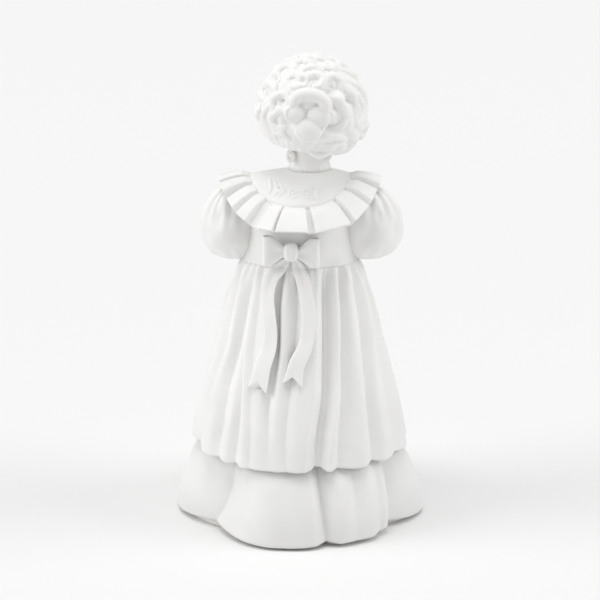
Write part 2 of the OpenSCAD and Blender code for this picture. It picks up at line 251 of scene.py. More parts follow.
# Unglazed fired clay: faint mottling, fine tooth, rare kiln specks, edges a little worn, and painted shade in
# the hollows and towards the foot
def makeBisqueGrain():
    group = bpy.data.node_groups.new("bisqueGrain", "ShaderNodeTree")
    for name, kind, way in (
        ("Place", "Vector", "INPUT"), ("Clay", "Color", "INPUT"), ("Shade", "Color", "INPUT"),
        ("Rough", "Float", "INPUT"), ("Colour", "Color", "OUTPUT"), ("Roughness", "Float", "OUTPUT"),
        ("Height", "Float", "OUTPUT"),
    ):
        group.interface.new_socket(name=name, in_out=way, socket_type="NodeSocket" + kind)
    given = group.nodes.new("NodeGroupInput").outputs
    result = group.nodes.new("NodeGroupOutput").inputs
    add = functools.partial(addNode, group)

    mottle = add("TexNoise", {
        "Scale": bisque["mottleScale"], "Detail": 5, "Roughness": 0.6, "Vector": given["Place"],
    })
    share = add("MapRange", {"From Min": 0.35, "From Max": 0.75, "Value": mottle.outputs["Fac"]})
    clay = add(
        "Mix", {"Factor": share.outputs["Result"], "A": given["Clay"], "B": given["Shade"]}, data_type="RGBA",
    )

    # worn edges a touch lighter, and painted shade that darkens the hollows a touch
    edge = add("NewGeometry", {})
    wearAndPaintedShade = add("MapRange", {
        "From Min": 0.44, "From Max": 0.56, "To Min": 0.965, "To Max": 1.02,
        "Value": edge.outputs["Pointiness"],
    })
    wornAndShaded = add(
        "Mix", {"Factor": 1, "A": clay.outputs["Result"], "B": wearAndPaintedShade.outputs["Result"]},
        data_type="RGBA", blend_type="MULTIPLY",
    )

    # a dark speck in one cell of five
    cells = add("TexVoronoi", {"Scale": bisque["speckScale"], "Vector": given["Place"]})
    near = add("MapRange", {
        "From Min": 0.016, "From Max": 0.032, "To Min": 0.75, "To Max": 0, "Value": cells.outputs["Distance"],
    })
    cell = add("SeparateColor", {"Color": cells.outputs["Color"]})
    chosen = add("Math", {0: cell.outputs["Red"], 1: 0.8}, operation="GREATER_THAN")
    speck = add("Math", {0: near.outputs["Result"], 1: chosen.outputs["Value"]}, operation="MULTIPLY")
    spotted = add(
        "Mix", {"Factor": speck.outputs["Value"], "A": wornAndShaded.outputs["Result"], "B": (0.42, 0.37, 0.3, 1)},
        data_type="RGBA",
    )

    # painted shade: the colour grows darker towards the foot
    split = add("SeparateXYZ", {"Vector": given["Place"]})
    footPaintedShade = add("MapRange", {"From Max": 0.075, "To Min": 0.9, "To Max": 1, "Value": split.outputs["Z"]})
    footShaded = add(
        "Mix", {"Factor": 1, "A": spotted.outputs["Result"], "B": footPaintedShade.outputs["Result"]},
        data_type="RGBA", blend_type="MULTIPLY",
    )

    grain = add("TexNoise", {
        "Scale": bisque["grainScale"], "Detail": 3, "Roughness": 0.65, "Vector": given["Place"],
    })
    rough = add("MapRange", {"To Min": -0.09, "To Max": 0.09, "Value": grain.outputs["Fac"]})
    roughness = add("Math", {0: rough.outputs["Result"], 1: given["Rough"]}, operation="ADD")
    height = add(
        "Math", {0: mottle.outputs["Fac"], 1: 0.35, 2: grain.outputs["Fac"]}, operation="MULTIPLY_ADD",
    )
    group.links.new(footShaded.outputs["Result"], result["Colour"])
    group.links.new(roughness.outputs["Value"], result["Roughness"])
    group.links.new(height.outputs["Value"], result["Height"])
    return group


bisqueGrain = makeBisqueGrain()


def bisqueMaterial(name, clay, shade, rough, tooth, glow=0.12):
    mat = bpy.data.materials.new(name)
    mat.use_nodes = True
    nodes, links = mat.node_tree.nodes, mat.node_tree.links
    skin = nodes["Principled BSDF"]
    skin.inputs["IOR"].default_value = 1.5
    skin.inputs["Specular IOR Level"].default_value = 0.35
    skin.inputs["Subsurface Weight"].default_value = glow
    skin.inputs["Subsurface Radius"].default_value = (1.0, 0.9, 0.75)
    skin.inputs["Subsurface Scale"].default_value = 0.0012
    place = nodes.new("ShaderNodeTexCoord")
    grain = nodes.new("ShaderNodeGroup")
    grain.node_tree = bisqueGrain
    grain.inputs["Clay"].default_value = (*clay, 1)
    grain.inputs["Shade"].default_value = (*shade, 1)
    grain.inputs["Rough"].default_value = rough
    bump = nodes.new("ShaderNodeBump")
    bump.inputs["Strength"].default_value = 1
    bump.inputs["Distance"].default_value = tooth * mm
    links.new(place.outputs["Object"], grain.inputs["Place"])
    links.new(grain.outputs["Colour"], skin.inputs["Base Color"])
    links.new(grain.outputs["Roughness"], skin.inputs["Roughness"])
    links.new(grain.outputs["Height"], bump.inputs["Height"])
    links.new(bump.outputs["Normal"], skin.inputs["Normal"])
    return mat


dressClay = bisqueMaterial("dressBisque", (0.885, 0.882, 0.87), (0.85, 0.846, 0.832), 0.64, 0.028)
skinClay = bisqueMaterial("skinBisque", (0.895, 0.89, 0.877), (0.865, 0.86, 0.845), 0.58, 0.014)
hairClay = bisqueMaterial("hairBisque", (0.885, 0.882, 0.868), (0.85, 0.846, 0.83), 0.64, 0.024)
ribbonClay = bisqueMaterial("ribbonBisque", (0.89, 0.887, 0.873), (0.86, 0.856, 0.842), 0.62, 0.024)
footClay = bisqueMaterial("rawFoot", (0.83, 0.815, 0.78), (0.74, 0.72, 0.68), 0.74, 0.06, 0)
print("materials made")

gown = {
    "waistZ": 96.5,
    "waistDepth": 0.82,
    "wall": 2.6,
    "coreZ": [0, 10.6, 19.3, 24.6, 28, 34, 62, 96.5],
    "coreR": [46.2, 44.6, 41.6, 39.0, 36.3, 34.0, 26.6, 18.0],
    "crestZ": [27, 41.5, 64.7, 80.1, 90.7, 94.6, 96.5],
    "crestR": [40.6, 37.7, 31.7, 27.7, 23.9, 22.3, 21.0],
}


def depthShare(z):
    return 1 - (1 - gown["waistDepth"]) * min(1, max(0, z / gown["waistZ"])) ** 1.5


def wobble(x, y, z, size, amount):
    return amount * noise.noise(Vector((x, y, z)) / size)


# Azimuths, then depths, of the flounce's crests and valleys at these heights
flounceHeights = [0, 8, 18, 27]
flounceTurns = [
    ([-93, -93, -93, -93], [0, 0, 0, 0]),
    ([-54, -47, -43.5, -44], [7.4, 6.4, 4.8, 3.2]),
    ([-12, -12, -14, -16], [0, 0, 0, 0]),
    ([1, 1.5, 1.5, 1.5], [0.35, 0.6, 0.8, 0.7]),
    ([5, 5, 4.6, 4.2], [0.8, 0.9, 0.9, 0.8]),
    ([13, 12, 11, 10], [4.0, 4.2, 3.9, 3.2]),
    ([21, 21, 21, 20], [1.4, 0.8, 0.5, 0.3]),
    ([28, 28, 29, 29], [1.9, 1.5, 1.3, 1.0]),
    ([36, 36, 37, 37], [1.8, 0.9, 0.4, 0.2]),
    ([43, 43, 44, 44], [3.7, 2.3, 1.4, 0.9]),
    ([47, 47, 48.5, 49], [3.7, 1.9, 0.9, 0.5]),
    ([54, 54, 55.5, 57], [6.4, 5.6, 4.5, 3.2]),
    ([84, 82, 80, 78], [0, 0, 0, 0]),
    ([112, 110, 108, 107], [5.0, 4.0, 2.8, 1.9]),
    ([132, 131, 130, 129], [0.5, 0.3, 0.2, 0.1]),
    ([152, 153, 154, 154], [4.2, 3.4, 2.5, 1.7]),
    ([170, 171, 171, 172], [0.3, 0.2, 0.1, 0.1]),
    ([190, 189, 188, 188], [4.6, 3.6, 2.6, 1.8]),
    ([208, 208, 209, 209], [0.4, 0.3, 0.2, 0.1]),
    ([226, 227, 228, 228], [4.4, 3.5, 2.5, 1.7]),
    ([245, 245, 246, 246], [0.5, 0.4, 0.3, 0.2]),
    ([256, 256, 257, 257], [2.6, 2.0, 1.5, 1.0]),
]


# Rows up the outside, round the top, down the inside and round the hem: (height, inset, lip)
def shellRows(low, high, step, innerStep, thickness, lip):
    rows = []
    for k in range(5):
        a = math.pi * k / 4
        rows.append((low + lip - lip * math.sin(a), thickness * (0.5 + 0.5 * math.cos(a))))
    z = low + lip + step * 0.6
    while z < high:
        rows.append((z, 0))
        z += step
    rows.append((high, 0))
    z = high
    while z > low + lip + innerStep:
        rows.append((z, thickness))
        z -= innerStep
    return rows


flounceRows = shellRows(0.8, 30, 0.9, 5, gown["wall"], 1.1)
flounceRows = [row for row in flounceRows if row[1] < gown["wall"] or row[0] < 30.1]
flounceMet = [turnsAt(min(27, z), flounceHeights, flounceTurns) for z, _ in flounceRows]
hemMet = turnsAt(0, flounceHeights, flounceTurns)


def placeFlounce(row, azimuth):
    z, inset = flounceRows[row]
    fade = ramp(34 - z, 0, 6) * through(z, [0, 8, 18, 30], [1.05, 1.2, 1.45, 1.6])
    depth = depthAt(azimuth, flounceMet[row]) * fade
    r = through(z, gown["coreZ"], gown["coreR"]) - depth - inset
    lift = 0.26 * depthAt(azimuth, hemMet) * ramp(14 - z, 0, 13)
    a = math.radians(azimuth)
    x, y = r * math.sin(a), -r * math.cos(a) * depthShare(z)
    bulge = 1 + wobble(x, y, z * 0.6, 9, 0.006) + wobble(x, y, z, 3.5, 0.0012)
    return Vector((x * bulge, y * bulge, z + lift + wobble(x, y, 0, 5, 0.12) * ramp(8 - z, 0, 7)))


def makeUnderskirt():
    # the flounce's own shell runs up under the overskirt, and a plain cone carries on to the waist
    bm = tube(len(flounceRows), 480, placeFlounce, closed=True)
    coneRows = [(29.5, 0), (34, 0), (48, 0), (62, 0), (80, 0), (95.3, 0), (95.3, 2.4), (62, 2.4), (29.5, 2.4)]

    def placeCone(row, azimuth):
        z, inset = coneRows[row]
        a = math.radians(azimuth)
        r = through(z, gown["coreZ"], gown["coreR"]) - 0.2 - inset
        return Vector((r * math.sin(a), -r * math.cos(a) * depthShare(z), z))

    addMesh(bm, tube(len(coneRows), 96, placeCone, closed=True))
    return finish("underskirt_cast", bm, ["underskirt"], dressClay)


makeUnderskirt()

# Azimuths, then depths, of the overskirt's crests and valleys at these heights
foldHeights = [28, 39, 52, 69, 86, 95]
foldTurns = [
    ([-83, -82, -80, -76, -76, -80], [0, 0, 0, 0, 0, 0]),
    ([-71, -71, -71, -66, -68, -73], [1.3, 1.4, 1.5, 1.6, 1.5, 1.0]),
    ([-58, -58.5, -61, -55.5, -60, -66], [0, 0, 0, 0, 0, 0.2]),
    ([-50, -50.5, -51, -49, -50, -53.5], [1.7, 1.9, 1.7, 2.1, 1.9, 1.0]),
    ([-43, -43, -44, -46.5, -47.5, -51], [0.5, 0.4, 0.8, 1.9, 1.9, 1.1]),
    ([-36.8, -37.3, -39.2, -44, -45.5, -48.5], [1.7, 1.9, 1.8, 2.0, 1.9, 1.1]),
    ([-31, -32.5, -35.4, -39.5, -40, -42.5], [0, 0, 0, 0, 0, 0]),
    ([-27, -28, -30.5, -33, -34.5, -37.5], [0.4, 0.5, 0.5, 0.7, 0.7, 0.6]),
    ([-23, -24, -25, -26, -28, -30], [0.2, 0.2, 0.3, 0.5, 0.4, 0.3]),
    ([-16, -17.5, -18.5, -16, -18.5, -17], [0.4, 0.8, 1.4, 2.7, 3.0, 1.9]),
    ([-11, -13, -13, -12.3, -13, -11.5], [0.3, 0.3, 0.2, 0.1, 0.2, 0.4]),
    ([-7, -8, -6.5, -4, -3, -3], [0.5, 0.9, 1.1, 2.8, 2.8, 1.7]),
    ([-1.5, -1.5, 0, 4, 5, 6], [0.1, 0.1, 0.3, 0.7, 0.8, 0.6]),
    ([2.2, 3.6, 7.6, 11, 13.5, 16], [0.2, 0.2, 0.2, 0.1, 0.1, 0.1]),
    ([4.6, 6.6, 11.2, 14.2, 17.4, 20.4], [1.0, 1.1, 1.2, 1.2, 1.1, 0.8]),
    ([8.2, 10.3, 15.1, 18.4, 21.6, 24.5], [2.8, 3.2, 3.4, 3.5, 3.4, 2.4]),
    ([11, 13.4, 18, 21.8, 25.4, 28.4], [2.5, 2.9, 3.0, 3.0, 2.9, 2.1]),
    ([15.4, 18.6, 22.6, 27, 31.4, 34], [0.2, 0, 0, 0, 0, 0.2]),
    ([19.8, 22.4, 27, 31.5, 37.5, 41.5], [1.5, 1.8, 2.1, 2.3, 2.3, 1.7]),
    ([33.5, 35.5, 38.5, 41, 45, 49], [0, 0, 0, 0, 0, 0]),
    ([42.6, 44.2, 46, 51, 57, 62], [1.8, 2.1, 1.8, 1.9, 1.9, 1.5]),
    ([51, 52.5, 54, 61, 68, 73], [0, 0, 0, 0, 0, 0.1]),
    ([63, 64, 66, 70, 76, 80], [1.2, 1.2, 1.2, 1.4, 1.4, 1.0]),
    ([75, 76, 77, 80, 84, 88], [0, 0, 0, 0, 0, 0]),
    ([88, 88, 89, 92, 95, 98], [1.6, 1.8, 1.8, 1.7, 1.6, 1.0]),
    ([101, 101, 102, 104, 106, 107], [0, 0, 0, 0, 0, 0]),
    ([112, 113, 114, 115, 116, 116], [1.9, 2.0, 2.0, 1.9, 1.8, 1.2]),
    ([124, 125, 125, 126, 126, 127], [0.1, 0, 0, 0, 0, 0.1]),
    ([136, 136, 136, 137, 137, 137], [1.5, 1.7, 1.8, 1.8, 1.7, 1.1]),
    ([149, 149, 149, 149, 149, 149], [0, 0, 0, 0, 0, 0]),
    ([161, 161, 161, 161, 160, 160], [2.0, 2.2, 2.2, 2.1, 1.9, 1.3]),
    ([174, 173, 173, 172, 172, 171], [0, 0, 0, 0, 0, 0]),
    ([187, 186, 185, 184, 183, 182], [1.7, 1.9, 2.0, 1.9, 1.8, 1.2]),
    ([199, 198, 197, 196, 194, 193], [0, 0, 0, 0, 0, 0.1]),
    ([210, 209, 208, 207, 205, 204], [1.9, 2.1, 2.1, 2.0, 1.9, 1.2]),
    ([222, 221, 220, 218, 217, 216], [0, 0, 0, 0, 0, 0]),
    ([233, 232, 231, 230, 229, 228], [1.6, 1.8, 1.9, 1.8, 1.7, 1.1]),
    ([244, 244, 243, 242, 241, 240], [0, 0, 0, 0, 0, 0]),
    ([254, 254, 254, 253, 252, 250], [1.8, 2.0, 2.0, 1.9, 1.8, 1.1]),
    ([263, 263, 264, 264, 264, 262], [0.1, 0.1, 0, 0, 0, 0]),
    ([269, 270, 271, 273, 273, 270], [1.2, 1.2, 1.2, 1.2, 1.2, 0.8]),
]
overRows = shellRows(27.1, 93.6, 0.95, 9, 1.5, 0.75)
# the gathers turn in under the bodice
topAt = max(i for i, row in enumerate(overRows) if row[1] == 0 and row[0] == 93.6)
overRows[topAt + 1 : topAt + 1] = [(94.7, 0.15), (95.7, 0.35), (96.5, 0.6), (97.1, 1.1), (97.0, 2.6)]
overMet = [turnsAt(min(95, max(28, z)), foldHeights, foldTurns) for z, _ in overRows]
overHemMet = turnsAt(28, foldHeights, foldTurns)


def placeOverskirt(row, azimuth):
    z, inset = overRows[row]
    fade = (1 - 0.8 * ramp(z, 93.5, 96.6)) * through(z, [28, 50, 80, 95], [1.35, 1.5, 1.45, 1.3])
    depth = depthAt(azimuth, overMet[row])
    outer = through(z, gown["crestZ"], gown["crestR"]) - depth * fade
    inner = through(z, gown["coreZ"], gown["coreR"]) + 0.1
    r = outer - inset
    if inset == 1.5 and z > 40:
        r = inner
    hemShift = (0.5 * depthAt(azimuth, overHemMet) - 0.3) * ramp(38 - z, 0, 10)
    # caught up a little at her left side
    hemShift += 4.2 * math.exp(-(((azimuth + 92) / 26) ** 2)) * ramp(44 - z, 0, 16)
    a = math.radians(azimuth)
    x, y = r * math.sin(a), -r * math.cos(a) * depthShare(z)
    side = wobble(x, y, z * 0.35, 7, 0.007) + wobble(x, y, z, 3, 0.0016)
    crimp = 0
    if z > 86:  # fine gathers under the waist seam
        crimp = 0.012 * ramp(z, 86, 95) * math.sin(math.radians(azimuth * 41) + 2 * math.sin(a * 5))
    bulge = 1 + side + crimp
    return Vector((x * bulge, y * bulge, z + hemShift))


overskirtMesh = tube(len(overRows), 720, placeOverskirt, closed=True)
finish("overskirt_cast", overskirtMesh, ["overskirt"], dressClay)

foot = {"height": 3.5, "gap": 2.75, "ventR": 1.5, "ventY": 14.0, "sides": 144}


def makeFoot():
    bm = bmesh.new()
    met = turnsAt(6.5, flounceHeights, flounceTurns)
    hemR = through(6.5, gown["coreZ"], gown["coreR"]) - foot["gap"]

    def outline(inset, z):
        places = []
        for i in range(foot["sides"]):
            a = 2 * math.pi * i / foot["sides"]
            r = hemR - depthAt(math.degrees(a), met) - inset
            places.append(Vector((r * math.sin(a), -r * math.cos(a), z)))
        return places

    def vent(r, z):
        places = []
        for i in range(foot["sides"]):
            a = 2 * math.pi * i / foot["sides"]
            places.append(Vector((r * math.sin(a), foot["ventY"] - r * math.cos(a), z)))
        return places

    rings = [
        vent(foot["ventR"], 1.2), vent(foot["ventR"] + 0.1, 0.5), vent(foot["ventR"] + 0.7, 0.12),
        vent(4, 0.05), outline(10, 0.12), outline(7.6, 0.3), outline(6.9, 0.32), outline(5.6, 0.02),
        outline(1.4, 0), outline(0.5, 0.15), outline(0.1, 0.55), outline(0, 1.2), outline(0, foot["height"]),
        outline(8, foot["height"]), vent(4, foot["height"]), vent(foot["ventR"], foot["height"]),
    ]
    line = list(bmesh.ops.create_circle(bm, segments=foot["sides"], radius=1, cap_ends=False)["verts"])
    for k, places in enumerate(rings):
        if k:
            line = growRing(bm, line)
        for v, place in zip(line, places):
            v.co = place
    both = [e for e in bm.edges if e.is_boundary]
    bmesh.ops.bridge_loops(bm, edges=both)
    bmesh.ops.recalc_face_normals(bm, faces=bm.faces)
    return finish("foot_cast", bm, ["foot_plate"], footClay)


makeFoot()
print("gown made")

torso = {
    "neckX": 3.4,
    "neckR": 7.2,
    "neckZ": 129.0,
    "rimX": 18.5,
    "rimY": 18.8,
    "yokeT": 1.8,
    "wall": 2.6,
    "motifRise": 0.5,
    "motifWidth": 0.36,
}


def rimZ(azimuth):
    a = math.radians(azimuth)
    dip = 1.5 * abs(math.cos(a)) if math.cos(a) < 0 else 0
    return 119.2 - dip + 8 * abs(math.sin(a)) ** 3


def edgeZ(azimuth):
    return 110.9 + 13.6 * abs(math.sin(math.radians(azimuth))) ** 4


# A point on the yoke, from 0 at the neck to 1 at its rim
def yokeAt(share, azimuth, neckR=None):
    a = math.radians(azimuth)
    r = neckR or torso["neckR"]
    nx, ny, nz = torso["neckX"] + r * math.sin(a), -r * math.cos(a), torso["neckZ"]
    mx, my, mz = torso["rimX"] * math.sin(a), -torso["rimY"] * math.cos(a), rimZ(azimuth)
    drop = share ** 1.25 if share > 0 else 0
    return Vector((nx + (mx - nx) * share, ny + (my - ny) * share, nz + (mz - nz) * drop))


bodiceRows = [("side", 95.9 + k * 0.7, 0) for k in range(24)]
bodiceRows += [("top", share, 0) for share in (0.12, 0.3, 0.48, 0.66, 0.84, 1)]
bodiceRows += [("in", share, torso["wall"]) for share in (1, 0.5, 0)]
bodiceRows += [("side", z, torso["wall"]) for z in (108, 102, 97)]


def placeBodice(row, azimuth):
    kind, value, inset = bodiceRows[row]
    a = math.radians(azimuth)
    z = value if kind == "side" else 112
    wide = through(z, [95.9, 97.5, 104, 112], [20.9, 20.3, 19.6, 18.9]) - inset
    deep = through(z, [95.9, 97.5, 104, 112], [17.3, 16.8, 16.4, 16.2]) - inset
    flank = Vector((wide * math.sin(a), -deep * math.cos(a), z))
    # soft drags that rise from the waist seam and the armholes
    pull = 0.22 * math.sin(math.radians(azimuth * 9 + 30)) * ramp(102.5 - z, 0, 6)
    armhole = ramp(z, 100, 110) * ramp(abs(math.sin(a)), 0.75, 1)
    pull += 0.3 * math.sin(math.radians((abs(azimuth) - 70) * 14)) * armhole
    if kind != "side":
        top = yokeAt(0.8 if kind == "top" else 0.68, azimuth) - Vector((0, 0, torso["yokeT"] + 0.15))
        flank = flank.lerp(top, value)
        pull *= 1 - value
    if inset == 0:
        out = Vector((math.sin(a), -math.cos(a), 0))
        flank = flank + out * (pull + wobble(flank.x, flank.y, flank.z, 6, 0.16))
    return flank


bodiceMesh = tube(len(bodiceRows), 240, placeBodice, closed=True)
finish("bodice_cast", bodiceMesh, ["bodice"], dressClay)

# A raised flower between two sprigs, on the back and the front of the yoke: x and share of the way to the rim
motifMiddle = -2.4
motifHalf = [
    [(8.4, 0.6), (7.9, 0.69), (7.9, 0.79), (8.6, 0.9)],
    [(2.7, 0.66), (4.4, 0.71), (6.6, 0.7)],
    [(3.4, 0.64), (4.2, 0.6), (4.9, 0.54)],
    [(3.6, 0.74), (4.4, 0.78), (5.1, 0.84)],
    [(5.2, 0.66), (5.9, 0.62), (6.5, 0.57)],
    [(5.3, 0.76), (6.0, 0.8), (6.6, 0.86)],
]
motifStems = []
for stem in motifHalf:
    for side in (-1, 1):
        motifStems.append([(motifMiddle + side * x, share) for x, share in stem])
for k in range(6):  # petals
    a = 2 * math.pi * k / 6
    petal = [(1.35 * math.sin(a), 0.1 * math.cos(a)), (1.36 * math.sin(a), 0.101 * math.cos(a))]
    motifStems.append([(motifMiddle + x, 0.69 + share) for x, share in petal])
motifStems += [[(motifMiddle, 0.69), (motifMiddle, 0.692)]]


def stemPoint(stem, share, front):
    places = [j / (len(stem) - 1) for j in range(len(stem))]
    x, down = through(share, places, [p[0] for p in stem]), through(share, places, [p[1] for p in stem])
    r = torso["neckR"] + (torso["rimX"] - torso["neckR"]) * down
    azimuth = math.degrees(math.asin((x - torso["neckX"] * (1 - down)) / r))
    return tuple(yokeAt(down, 180 - azimuth if front else azimuth))


motifPoints = np.array(
    [stemPoint(stem, k / 39, front) for front in (False, True) for stem in motifStems for k in range(40)]
)
motifThin = np.array(
    [
        1.4 if len(stem) == 2 else 0.75 + 0.35 * math.sin(math.pi * k / 39)
        for _ in range(2) for stem in motifStems for k in range(40)
    ]
)


def motifRise(point):
    away = np.sqrt(((motifPoints - np.array(tuple(point))) ** 2).sum(axis=1))
    nearest = float((away / (torso["motifWidth"] * motifThin)).min())
    return torso["motifRise"] * math.exp(-nearest ** 2)


yokeRows = [("bore", 129.0), ("top", 0.0)] + [("top", 0.02 + 0.98 * k / 54) for k in range(1, 52)]
yokeRows += [("lip", share) for share in (0.0, 0.33, 0.67, 1.0)]
yokeRows += [("under", share) for share in (0.9, 0.4, 0)] + [("bore", 127.2)]


def placeYoke(row, azimuth):
    kind, value = yokeRows[row]
    a = math.radians(azimuth)
    if kind == "bore":
        return Vector((torso["neckX"] + 5.5 * math.sin(a), -5.5 * math.cos(a), value))
    if kind == "top":
        point = yokeAt(value, azimuth)
        out = Vector((math.sin(a) * 0.45, -math.cos(a) * 0.45, 0.9))
        rise = motifRise(point) if 0.1 < value < 0.97 else 0
        return point + out * (rise + wobble(point.x, point.y, point.z, 7, 0.14) * value)
    if kind == "lip":
        point = yokeAt(0.985 + 0.015 * math.sin(math.pi * value), azimuth)
        return point - Vector((0, 0, 0.1 + (torso["yokeT"] - 0.2) * value))
    return yokeAt(value, azimuth) - Vector((0, 0, torso["yokeT"]))


finish("yoke_cast", tube(len(yokeRows), 540, placeYoke, closed=True), ["yoke"], dressClay)

# Raised panels of the collar's box pleats, from edge to edge in azimuth
collar = {
    "thickness": 1.15,
    "rise": 1.6,
    "panels": [
        (-90, -80), (-75, -68), (-62, -54.5), (-48.5, -41), (-29.5, -19.5), (-16.5, 4.9), (11.5, 36.5),
        (42, 54.5), (60, 70), (76, 88), (99, 112), (124, 138), (150, 164), (176, 190), (202, 216), (228, 241),
        (253, 263),
    ],
    "side": 1.5,
}


@functools.lru_cache(maxsize=None)
def panelWave(azimuth):
    best = -1.0
    for low, high in collar["panels"]:
        for turn in (-360, 0, 360):
            inside = min(azimuth - low - turn, high + turn - azimuth)
            if inside > -collar["side"]:
                best = max(best, -1 + 2 * ramp(inside, -collar["side"], 0))
    return best


# Straightens a panel between its own corners instead of bowing round the shoulders
@functools.lru_cache(maxsize=None)
def chord(azimuth):
    for low, high in collar["panels"]:
        for turn in (-360, 0, 360):
            if low + turn <= azimuth <= high + turn:
                half, middle = (high - low) / 2, (high + low) / 2 + turn
                return math.cos(math.radians(half)) / math.cos(math.radians(azimuth - middle))
    return 1


# Rows over the top of the collar, round its edge and back underneath: (share, layer)
collarRows = [(k / 24, 1.0) for k in range(25)]
collarRows += [(1 + 0.02 * math.sin(math.pi * k / 5), 1 - k / 5) for k in range(1, 5)]
collarRows += [(1 - k / 8, 0.0) for k in range(9)]


def placeCollar(row, azimuth):
    s, layer = collarRows[row]
    a = math.radians(azimuth)
    wave = panelWave(azimuth)
    straight = 1 + (chord(azimuth) - 1) * 0.9 * s
    rise = collar["rise"] * (1 + 0.35 * abs(math.sin(a)) ** 6)
    lift = collar["thickness"] * layer + (0.3 + 0.7 * s**0.7) * wave * rise
    # each pleat lies a little over the next one
    lift += 0.5 * s * math.sin(math.radians(azimuth * 13.8 + 40)) + 0.25 * math.sin(math.pi * s) * (wave + 1)
    flat = (torso["rimX"] - 0.9 + (29.2 - torso["rimX"]) * s) * straight
    deep = (torso["rimY"] - 0.9 + (25.6 - torso["rimY"]) * s) * straight
    z = rimZ(azimuth) - 1.0 + 0.8 * ramp(s, 0, 0.3) + (edgeZ(azimuth) - rimZ(azimuth)) * s
    out = 0.75 - 0.45 * math.sin(a) ** 2
    z += (1 - straight) * 8 + wobble(a * 20, s * 8, 3, 5, 0.35) * s
    ripple = wobble(a * 22, s * 7, 9, 3.2, 0.16) * s
    lift += ripple
    x, y = (flat + lift * out) * math.sin(a), -(deep + lift * out) * math.cos(a)
    return Vector((x, y, z + lift * (1 - out)))


collarMesh = tube(len(collarRows), 900, placeCollar, closed=True)
finish("collar_ruffle_cast", collarMesh, ["collar_ruffle"], dressClay)
print("bodice and collar made")

arm = {
    "elbow": Vector((24.6, 9, 102)),
    "wrist": Vector((6.8, 25.5, 103)),
    "sleeveW": 10.4,
    "sleeveZ": [94.9, 95.6, 97.6, 102.4, 107.5, 113, 118, 121.6, 122.6],
    "sleeveR": [0.05, 0.42, 0.76, 0.975, 1.0, 0.95, 0.8, 0.48, 0.05],
    "sleeveX": [23.8, 23.8, 24.2, 25, 25.2, 25, 24.4, 23.6, 23.6],
    "sleeveY": [4, 4, 3.6, 2.8, 2, 1.4, 0.8, 0.4, 0.4],
}
armAlong = (arm["wrist"] - arm["elbow"]).normalized()
armSide = armAlong.cross(Vector((0, 0, 1))).normalized()
armUp = armSide.cross(armAlong)
armLength = (arm["wrist"] - arm["elbow"]).length


def onArm(along, side, up, mirrored):
    point = arm["elbow"] + armAlong * along + armSide * side + armUp * up
    return Vector((-point.x, point.y, point.z)) if mirrored else point


# Hollows pressed into the puffs: azimuth, height, how wide in degrees, how tall and how deep
sleeveHollows = {
    True: [(24, 112.5, 10, 3.6, 1.5), (-8, 115, 8, 2.6, 0.9), (60, 104, 14, 4, 0.7)],
    False: [(14, 114, 9, 3.0, 1.3), (-14, 104.2, 13, 3.4, 1.2), (48, 108, 12, 4, 0.8)],
}


def makeSleeve(mirrored, fuller, seed):
    rows = 76
    rng = random.Random(seed)
    gathers = []  # azimuth, depth and how far down each one reaches
    for k in range(12):
        gathers.append((k * 30 + rng.uniform(-8, 8), rng.uniform(0.45, 1.0), rng.uniform(0.35, 1.0)))

    def place(row, azimuth):
        share = row / (rows - 1)
        # rows crowd towards the closed ends
        z = through(share, [0, 0.05, 0.12, 0.5, 0.88, 0.95, 1], [94.9, 95.15, 96.1, 108, 120.6, 122.2, 122.6])
        r = (arm["sleeveW"] + fuller) * through(z, arm["sleeveZ"], arm["sleeveR"])
        a = math.radians(azimuth)
        fold = 0
        for where, depth, reach in gathers:
            gap = (azimuth - where + 180) % 360 - 180
            wide = 6.5 + 4 * (1 - abs(z - 108) / 14)
            tall = ramp(z, 122 - 20 * reach, 118) + 0.6 * ramp(103 - z, 0, 6) * (reach > 0.6)
            fold += depth * math.exp(-((gap / wide) ** 2)) * tall
        for where, height, wide, tall, depth in sleeveHollows[mirrored]:
            gap = (azimuth - where + 180) % 360 - 180
            r -= depth * math.exp(-((gap / wide) ** 2) - ((z - height) / tall) ** 2)
        r -= 1.75 * fold * min(1, r / 6)
        r += 0.45
        middleX = through(z, arm["sleeveZ"], arm["sleeveX"]) + fuller
        middleY = through(z, arm["sleeveZ"], arm["sleeveY"])
        x, y = middleX + r * math.sin(a), middleY - r * math.cos(a) * 1.06
        x = 25 + (x - 25) * (1 + wobble(x, y, z, 8, 0.012))
        if share in (0, 1):  # the poles
            x, y = middleX, middleY
        return Vector((-x if mirrored else x, y, z))

    bm = tube(rows, 240, place)
    name = "left" if mirrored else "right"
    finish("sleeve_" + name + "_cast", bm, ["sleeve_" + name], dressClay)


def makeCuff(mirrored):
    rows = [(6.0 + 3.3 * k / 12, 1.0) for k in range(13)]
    rows += [(9.36, 1 - k / 4) for k in range(1, 4)]
    rows += [(9.3 - 3.3 * k / 4, 0.0) for k in range(5)]

    def place(row, azimuth):
        along, layer = rows[row]
        a = math.radians(azimuth)
        s = (along - 6) / 3.3
        pleat = math.cos(13 * a + 0.4 * math.sin(3 * a))
        # a narrow band, then a frill that flares over the wrist
        band = 5.5 - 0.5 * ramp(s, 0.1, 0.32) + 0.85 * ramp(s, 0.42, 1)
        r = band + 0.34 * pleat * ramp(s, 0.36, 0.9) + 0.1 * pleat * (1 - s)
        r = r if layer == 1 else r - (1 - layer) * (0.75 if s > 0.9 else 1.3)
        return onArm(along, r * math.sin(a), r * math.cos(a), mirrored)

    name = "left" if mirrored else "right"
    bm = tube(len(rows), 240, place, closed=True)
    finish("cuff_" + name + "_cast", bm, ["cuff_" + name], dressClay)


